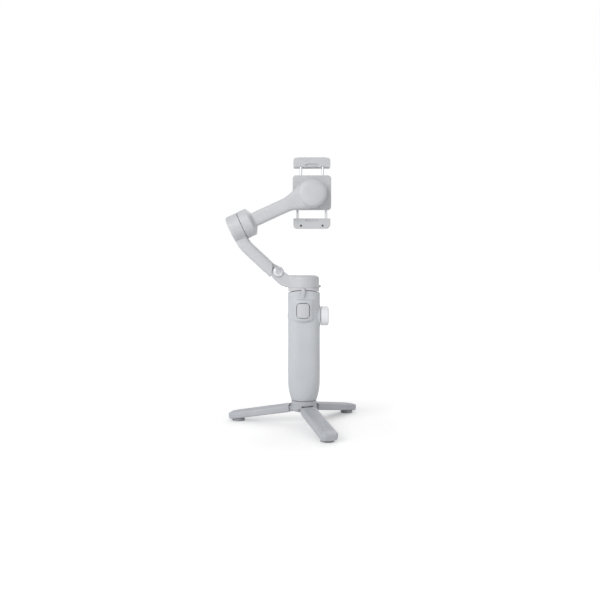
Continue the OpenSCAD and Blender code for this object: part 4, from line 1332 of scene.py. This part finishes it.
@dataclass
class Clamp:
    """The clamp's plate and its two spring-loaded jaws."""

    plate_corner: float = 4 * MM
    disc_radius: float = 16.4 * MM
    jaw_back: float = 9.0 * MM
    jaw_front: float = 26.7 * MM
    slot: tuple[float, float] = (14.6 * MM, 24.1 * MM)
    inner: float = 31.3 * MM
    outer: float = 43.0 * MM
    face: float = 36.9 * MM
    lip_inner: float = 31.7 * MM
    half: float = 22.45 * MM
    plate_thick: float = 6 * MM
    rod_radius: float = 1.5 * MM
    groove_pitch: float = 3.4 * MM
    cell: float = 0.4 * MM

    def __post_init__(self) -> None:
        """Takes the roll axis from the frame."""
        self.roll = Vector(JOINTS["roll"]["pos_m"])
        low, high = box("upper_jaw_rods", "lower_jaw_rods")
        self.middle = Vector((self.roll.x, 0, (low.z + high.z) / 2))

    def plate(self) -> None:
        """Makes the plate with the bores of the rods and springs."""
        low, high = box("clamp_plate")
        thick = self.plate_thick
        plate = Bench.prism("clamp_base", high.x - low.x, high.z - low.z, self.plate_corner, thick)
        Bench.place(plate, standing(self.middle + Y * (high.y - thick), Y, X))
        Bench.edges(plate, 0.7 * MM, 4)
        stations = [(self.disc_radius, 0), (self.disc_radius, high.y - low.y - thick + MM)]
        disc = Bench.place(Bench.turned("disc", stations, 128),
                           standing(Vector((self.roll.x, low.y, self.roll.z)), Y, X))
        Bench.combine(plate, Cut.ADD, disc)
        cutters = []
        for way, node in ((1, "upper_jaw_rods"), (-1, "lower_jaw_rods")):
            rods_low, rods_high = box(node)
            depth = (rods_low.y + rods_high.y) / 2
            for side in (-1, 1):
                x = self.roll.x + side * ((rods_high.x - rods_low.x) / 2 - self.rod_radius)
                inner = Vector((x, depth, self.middle.z - way * 14 * MM))
                cutters.append(Bench.rod(f"bore_{way}_{side}", inner,
                                         inner + Z * way * 0.06, 1.56 * MM, 32))
        springs_low, springs_high = box("clamp_springs")
        for side in (-1, 1):
            x = self.roll.x + side * 6 * MM
            cutters.append(Bench.rod(
                f"spring_bore_{side}",
                Vector((x, (springs_low.y + springs_high.y) / 2, springs_low.z - 0.2 * MM)),
                Vector((x, (springs_low.y + springs_high.y) / 2, springs_high.z + 0.2 * MM)),
                1.8 * MM, 32))
        Bench.combine(plate, Cut.AWAY, *cutters)
        Bench.smooth(plate, 35)
        fit(plate, "clamp", CLAMP_GREY, "clamp_plate")

    def outline(self, way: int, crown: float, corner: float) -> list[tuple[float, float]]:
        """Draws a jaw's outline.

        Args:
            way: 1 for the upper jaw, -1 for the lower one.
            crown: rise of the outer edge's middle.
            corner: radius of the outer corners.

        Returns:
            The corners, in X and Z.
        """
        flank = self.outer - crown
        right = []
        for step in range(7):
            bend = math.radians(15 * step)
            right.append((self.half - corner + corner * math.cos(bend),
                          flank - corner + corner * math.sin(bend)))
        if crown:
            right += [(0.76 * self.half, self.outer - 0.3 * crown),
                      (0.70 * self.half, self.outer)]
        low = [(self.half, self.inner + 0.4 * MM), (self.half - 0.4 * MM, self.inner)]
        half = low[::-1] + right
        whole = half + [(-x, z) for x, z in reversed(half)]
        return [(self.roll.x + x, self.middle.z + way * z) for x, z in whole]

    def jaw(self, name: str, way: int, crown: float, corner: float) -> None:
        """Makes one jaw: its cap, its hooked lip, and the recess in its back.

        Args:
            name: the CAD node's name.
            way: 1 for the upper jaw, -1 for the lower one.
            crown: rise of the outer edge's middle.
            corner: radius of the outer corners.
        """
        jaw = Bench.outline(name + "_shell", self.outline(way, crown, corner),
                            self.jaw_back, self.jaw_front)

        def cutter(label: str, x_half: float, depths: tuple[float, float],
                   heights: tuple[float, float]) -> Shape:
            """Returns a block cutter, given by its heights from the roll axis."""
            ends = sorted((self.middle.z + way * heights[0], self.middle.z + way * heights[1]))
            return Bench.block(label, (self.roll.x - x_half, depths[0], ends[0]),
                               (self.roll.x + x_half, depths[1], ends[1]))

        slot = cutter("slot", 0.04, self.slot, (0, self.face))
        lip = cutter("lip", 0.04, (self.slot[1] - MM, 0.04), (0, self.lip_inner))
        recess = self.recess(way)
        rods_low, rods_high = box(name + "_rods")
        cutters = [slot, lip, recess]
        for side in (-1, 1):
            place = Vector((self.roll.x + side * ((rods_high.x - rods_low.x) / 2 - self.rod_radius),
                            (rods_low.y + rods_high.y) / 2, self.middle.z + way * 0.028))
            cutters.append(Bench.rod(f"socket_{side}", place, place + Z * way * 0.0124,
                                     self.rod_radius, 32))
            if way < 0:
                screw = Vector((self.roll.x + side * 13.1 * MM, self.jaw_back - MM,
                                self.middle.z - 40.1 * MM))
                cutters.append(Bench.rod(f"screw_{side}", screw, screw + Y * 2.6 * MM,
                                         1.2 * MM, 32))
        Bench.combine(jaw, Cut.AWAY, *cutters)
        Bench.soften(jaw, self.cell, 4)
        Bench.smooth(jaw)
        fit(jaw, name, CLAMP_GREY, name)

    def recess(self, way: int) -> Shape:
        """Returns the cutter of the arched recess in a jaw's back."""
        points = [(-7.8, 32.0), (-7.8, 33.9)]
        points += [(7.8 * math.sin(math.radians(turn)) if abs(turn) < 60 else
                    math.copysign(7.6, turn), 34.9 - 1.0 * abs(turn / 75) ** 2.5)
                   for turn in range(-75, 76, 15)]
        points += [(7.8, 33.9), (7.8, 32.0)]
        placed = [(self.roll.x + x * MM, self.middle.z + way * z * MM) for x, z in points]
        return Bench.outline("recess", placed, 0.0, self.jaw_back + 1.5 * MM)

    def pad(self, name: str) -> None:
        """Makes one rubber pad with shallow grip grooves.

        Args:
            name: the CAD node's name.
        """
        low, high = box(name)
        pad = Bench.block(name + "_rubber", low, high)
        Bench.edges(pad, 0.3 * MM, 2)
        upper = name.startswith("upper")
        face = low.z if upper else high.z
        grooves = []
        for row in range(-5, 6):
            x = self.roll.x + row * self.groove_pitch
            grooves.append(Bench.block(f"groove_{row}", (x - 0.5 * MM, low.y - MM, face - 0.3 * MM),
                                       (x + 0.5 * MM, high.y + MM, face + 0.3 * MM)))
        Bench.combine(pad, Cut.AWAY, *grooves)
        Bench.smooth(pad, 30)
        fit(pad, "upper_jaw" if upper else "lower_jaw", RUBBER, name)

    def build(self) -> None:
        """Makes and dresses the clamp."""
        self.plate()
        self.jaw("upper_jaw", 1, 0.5 * MM, 3.2 * MM)
        self.jaw("lower_jaw", -1, 0.0, 4 * MM)
        self.pad("upper_jaw_pad")
        self.pad("lower_jaw_pad")


# ---------------------------------------------------------------- tripod

@dataclass
class Tripod:
    """The hub with its three fold-out legs."""

    hinge: float = 11.5 * MM
    radius: float = 15 * MM
    slope: float = 9.6
    half_width: float = 10 * MM
    rise: tuple[float, float] = (5.3 * MM, 4.9 * MM)
    drop: tuple[float, float] = (3.6 * MM, 3.4 * MM)
    start: float = 5.1 * MM
    end: float = 82.5 * MM
    taper_end: float = 92.5 * MM
    corner: float = 6 * MM
    knuckle: float = 13.6 * MM
    eye: float = 3.1 * MM
    stud: float = 3.175 * MM
    azimuths: tuple[float, ...] = (-72.5, 47.5, 167.5)

    def __post_init__(self) -> None:
        """Takes the hub's box and the hinges' height from the frame."""
        self.low, self.high = box("tripod_hub")
        self.hinge_height = JOINTS["leg_front_fold"]["pos_m"][2]

    def hub(self) -> None:
        """Makes the hub with its rounded skirt, three forks with their pin bores, and the stud's
        bore.
        """
        radius, tall = self.radius, self.high.z - self.low.z
        stations = [(radius - 2.2 * MM, 0), (radius - 1.0 * MM, 0.5 * MM),
                    (radius - 0.25 * MM, 1.5 * MM), (radius, 2.8 * MM),
                    (radius, tall - 0.8 * MM), (radius - 0.25 * MM, tall - 0.25 * MM),
                    (radius - 0.8 * MM, tall)]
        hub = Bench.place(Bench.turned("hub_shell", stations, 128),
                          Matrix.Translation((0, 0, self.low.z)))
        cutters = [Bench.pillar("bore", 0, 0.04, self.stud)]
        for azimuth in self.azimuths:
            turn = Matrix.Rotation(math.radians(azimuth), 4, "Z")
            fork = Bench.block("fork", (self.hinge - 3.6 * MM, -7.2 * MM, 0.01),
                               (0.022, 7.2 * MM, self.hinge_height + 4.6 * MM))
            cutters.append(Bench.place(fork, turn))
            pin = turn @ Vector((self.hinge, -THROUGH, self.hinge_height))
            far = turn @ Vector((self.hinge, THROUGH, self.hinge_height))
            cutters.append(Bench.rod("pin_bore", pin, far, 1.5 * MM, 32))
        Bench.combine(hub, Cut.AWAY, *cutters)
        Bench.smooth(hub, 35)
        fit(hub, "handle", TRIPOD_GREY, "tripod_hub")

    def leg(self, name: str, azimuth: float) -> None:
        """Makes one leg: a tapered, slightly crowned bar with fine grooves along its top.

        Args:
            name: the CAD node's name.
            azimuth: where it points, in degrees.
        """
        rings = []
        stations = [self.start + share * (self.end - self.corner - self.start)
                    for share in (0, 0.012, 0.03, 0.06, 0.12, 0.2, 0.3, 0.4, 0.5, 0.6, 0.7, 0.8,
                                  0.9, 1)]
        stations += [self.end - self.corner * (1 - math.sin(math.radians(turn)))
                     for turn in range(10, 91, 10)]
        for place in stations:
            share = (place - self.start) / (self.taper_end - self.start)
            top = self.rise[0] + (self.rise[1] - self.rise[0]) * share
            under = self.drop[0] + (self.drop[1] - self.drop[0]) * share
            past = max(0.0, place - self.end + self.corner)
            half = self.half_width - self.corner + math.sqrt(max(0.0, self.corner ** 2 - past ** 2))
            lead = 1 - 0.06 * (1 - eased(place, self.start, self.start + 4 * MM))
            tip = 1 - 0.35 * (past / self.corner) ** 4
            rings.append(Ring(Vector((place, 0, (top - under) / 2)), Y, X,
                              (half * lead, (top + under) / 2 * lead * tip), 5.0))
        leg = Bench.loft(name + "_shell", rings, 96)
        hollow = Bench.block("hollow", (self.start + 8 * MM, -7.5 * MM, -0.012),
                             (61.6 * MM, 7.5 * MM, 0.5 * MM))
        Bench.edges(hollow, 1.5 * MM, 3, 80)
        knuckle = Bench.crossbar("knuckle", Vector((0, 0, 0)), self.knuckle / 2, self.eye)
        neck = Bench.block("neck", (0, -self.knuckle / 2, -self.eye),
                           (self.start + MM, self.knuckle / 2, self.eye))
        bore = Bench.crossbar("bore", Vector((0, 0, 0)), THROUGH, 1.55 * MM, 32)
        slant = math.atan2(self.rise[0] - self.rise[1], self.taper_end - self.start)
        grooves = []
        for row in range(-2, 3):
            groove = Bench.block("groove", (0, -0.4 * MM, 0), (62 * MM, 0.4 * MM, 3 * MM))
            turn = Matrix.Rotation(slant, 4, "Y")
            grooves.append(Bench.place(groove, Matrix.Translation(
                (self.start + 6 * MM, row * 2.8 * MM, self.rise[0] - 0.55 * MM)) @ turn))
        Bench.combine(leg, Cut.AWAY, *grooves, hollow)
        Bench.combine(leg, Cut.ADD, neck, knuckle)
        Bench.combine(leg, Cut.AWAY, bore)
        Bench.place(leg, Matrix.Rotation(math.radians(azimuth), 4, "Z")
                    @ Matrix.Translation((self.hinge, 0, self.hinge_height))
                    @ Matrix.Rotation(math.radians(self.slope), 4, "Y"))
        Bench.smooth(leg, 35)
        fit(leg, name, TRIPOD_GREY, name)

    def build(self) -> None:
        """Makes and dresses the tripod."""
        self.hub()
        for name, azimuth in zip(("leg_front", "leg_right", "leg_left"), self.azimuths):
            self.leg(name, azimuth)


# ---------------------------------------------------------------- inner parts

INNER_FINISHES: dict[Finish, tuple[str, ...]] = {
    HANDLE_GREY: ("handle_base_cap",),
    DARK_SATIN: ("trigger_switch", "knob_encoder", "joystick_base", "joystick_ring",
                 "lower_jaw_screws"),
    STEEL: ("tripod_socket", "usb_port", "rod_guide_sleeve", "pan_bearing", "tilt_bearing",
            "roll_bearing", "tripod_stud", "leg_pins", "clamp_springs"),
    ROD_METAL: ("rod_outer_tube", "rod_inner_tube", "upper_jaw_rods", "lower_jaw_rods"),
    BATTERY: ("battery_cell",),
    BOARD: ("main_board",),
    COPPER: ("pan_motor_stator", "tilt_motor_stator", "roll_motor_stator"),
    MOTOR_STEEL: ("pan_motor_rotor", "tilt_motor_rotor", "roll_motor_rotor"),
    FOOT_RUBBER: ("foot_front", "foot_right", "foot_left"),
}


def dress_inner_parts() -> None:
    """Gives every CAD node a finish; the ones that new pieces stand for get it too."""
    for finish, names in INNER_FINISHES.items():
        for name in names:
            dress_node(name, finish)
            LOG.info("%s wears %s", name, finish.name)
    dressed = {name for names in INNER_FINISHES.values() for name in names}
    for name in frame["nodes"]:
        if name not in dressed:
            dress_node(name, HANDLE_GREY)


def dress_node(name: str, finish: Finish) -> None:
    """Puts a finish on a CAD node's own material slots.

    Args:
        name: the node.
        finish: the finish.
    """
    node = frame["nodes"][name]
    if not node.material_slots:
        node.data.materials.append(finish.material())
    for slot in node.material_slots:
        slot.material = finish.material()


# ---------------------------------------------------------------- studio

@dataclass
class Studio:
    """The pale floor, the soft lights and the camera."""

    distance: float = 0.760
    aside: float = -0.0047
    height: float = 0.185
    lens: float = 38.0
    shift: float = -0.0512
    ambient: float = 0.47
    floor_size: float = 60.0
    glow_reach: tuple[float, float] = (0.1, 0.7)
    glow: tuple[float, float] = (0.30, 1.0)
    middle: tuple[float, float, float] = (-0.02, 0, 0.17)
    lamp_size: float = 0.9

    def floor(self) -> None:
        """Lays a pale floor that shows white to the camera and keeps the shadow."""
        Bench.focus(None)
        bpy.ops.mesh.primitive_plane_add(size=self.floor_size)
        floor = bpy.context.object
        floor.name = "floor"
        paper = bpy.data.materials.new("paper")
        paper.use_nodes = True
        shader = paper.node_tree.nodes["Principled BSDF"]
        shader.inputs["Base Color"].default_value = (0.86, 0.86, 0.86, 1)
        shader.inputs["Roughness"].default_value = 0.9
        shader.inputs["Specular IOR Level"].default_value = 0.1
        shader.inputs["Emission Color"].default_value = (1, 1, 1, 1)
        tree = paper.node_tree
        place = tree.nodes.new("ShaderNodeTexCoord")
        reach = tree.nodes.new("ShaderNodeVectorMath")
        reach.operation = "LENGTH"
        tree.links.new(place.outputs["Object"], reach.inputs[0])
        spread = tree.nodes.new("ShaderNodeMapRange")
        for socket, value in zip(("From Min", "From Max", "To Min", "To Max"),
                                 (*self.glow_reach, *self.glow)):
            spread.inputs[socket].default_value = value
        tree.links.new(reach.outputs["Value"], spread.inputs["Value"])
        glow = self.worked(tree, "MULTIPLY", self.seen(tree, 1.0), spread.outputs["Result"])
        tree.links.new(glow, shader.inputs["Emission Strength"])
        floor.data.materials.append(paper)

    @staticmethod
    def worked(tree: bpy.types.NodeTree, operation: str, first: bpy.types.NodeSocket,
               second: Union[bpy.types.NodeSocket, float]) -> bpy.types.NodeSocket:
        """Adds one piece of arithmetic on values of the nodes.

        Args:
            tree: the nodes that it joins.
            operation: Blender's name for what is done.
            first: the first value.
            second: the second value, or a number.

        Returns:
            The result's socket.
        """
        node = tree.nodes.new("ShaderNodeMath")
        node.operation = operation
        tree.links.new(first, node.inputs[0])
        if isinstance(second, float):
            node.inputs[1].default_value = second
        else:
            tree.links.new(second, node.inputs[1])
        return node.outputs[0]

    @classmethod
    def seen(cls, tree: bpy.types.NodeTree, strength: float) -> bpy.types.NodeSocket:
        """Adds a value that only the camera and mirror-like surfaces see.

        Args:
            tree: the nodes that it joins.
            strength: its value for them; it is 0 for all else.

        Returns:
            The value's socket.
        """
        rays = tree.nodes.new("ShaderNodeLightPath").outputs
        looks = cls.worked(tree, "MAXIMUM", rays["Is Camera Ray"], rays["Is Glossy Ray"])
        looks = cls.worked(tree, "MAXIMUM", looks, rays["Is Transmission Ray"])
        return cls.worked(tree, "MULTIPLY", looks, strength)

    def sky(self) -> None:
        """Sets a white surround for the camera and a weaker one as light."""
        world = bpy.data.worlds.new("surround")
        bpy.context.scene.world = world
        world.use_nodes = True
        tree = world.node_tree
        background = tree.nodes["Background"]
        background.inputs["Color"].default_value = (1, 1, 1, 1)
        extra = self.seen(tree, 1.0 - self.ambient)
        total = self.worked(tree, "ADD", extra, self.ambient)
        tree.links.new(total, background.inputs["Strength"])

    def lamp(self, name: str, place: Sequence[float], power: float) -> None:
        """Hangs one soft square lamp that points at the middle of the gimbal.

        Args:
            name: its name.
            place: where it hangs.
            power: its power, in watts.
        """
        Bench.focus(None)
        bpy.ops.object.light_add(type="AREA", location=place)
        lamp = bpy.context.object
        lamp.name = name
        lamp.data.size = self.lamp_size
        lamp.data.energy = power
        way = Vector(self.middle) - Vector(place)
        lamp.rotation_euler = way.to_track_quat("-Z", "Y").to_euler()

    def camera(self) -> None:
        """Sets the level camera in front of the trigger side."""
        Bench.focus(None)
        bpy.ops.object.camera_add(location=(self.aside, -self.distance, self.height),
                                  rotation=(math.radians(90), 0, 0))
        camera = bpy.context.object
        camera.name = "camera"
        camera.data.sensor_width = 36.0
        camera.data.lens = self.lens
        camera.data.shift_y = self.shift
        camera.data.clip_start = 0.01
        bpy.context.scene.camera = camera

    def build(self) -> None:
        """Sets the whole stage."""
        bpy.context.scene.view_settings.view_transform = "Standard"
        self.camera()
        self.floor()
        self.sky()
        self.lamp("key", (-0.85, -1.05, 0.75), 11.2)
        self.lamp("fill", (1.0, -0.85, 0.45), 1.5)
        self.lamp("rim", (0.3, 1.0, 0.9), 3.5)


def main() -> None:
    """Builds the sub-assemblies, dresses the inner parts and sets the stage."""
    logging.basicConfig(level=logging.INFO, format="%(name)s: %(message)s")
    Studio().build()
    dress_inner_parts()
    for part in (Handle(), Controls(), Head(), Arms(), Clamp(), Tripod()):
        part.build()
    Bench.focus(None)


if __name__ == "__main__":
    main()
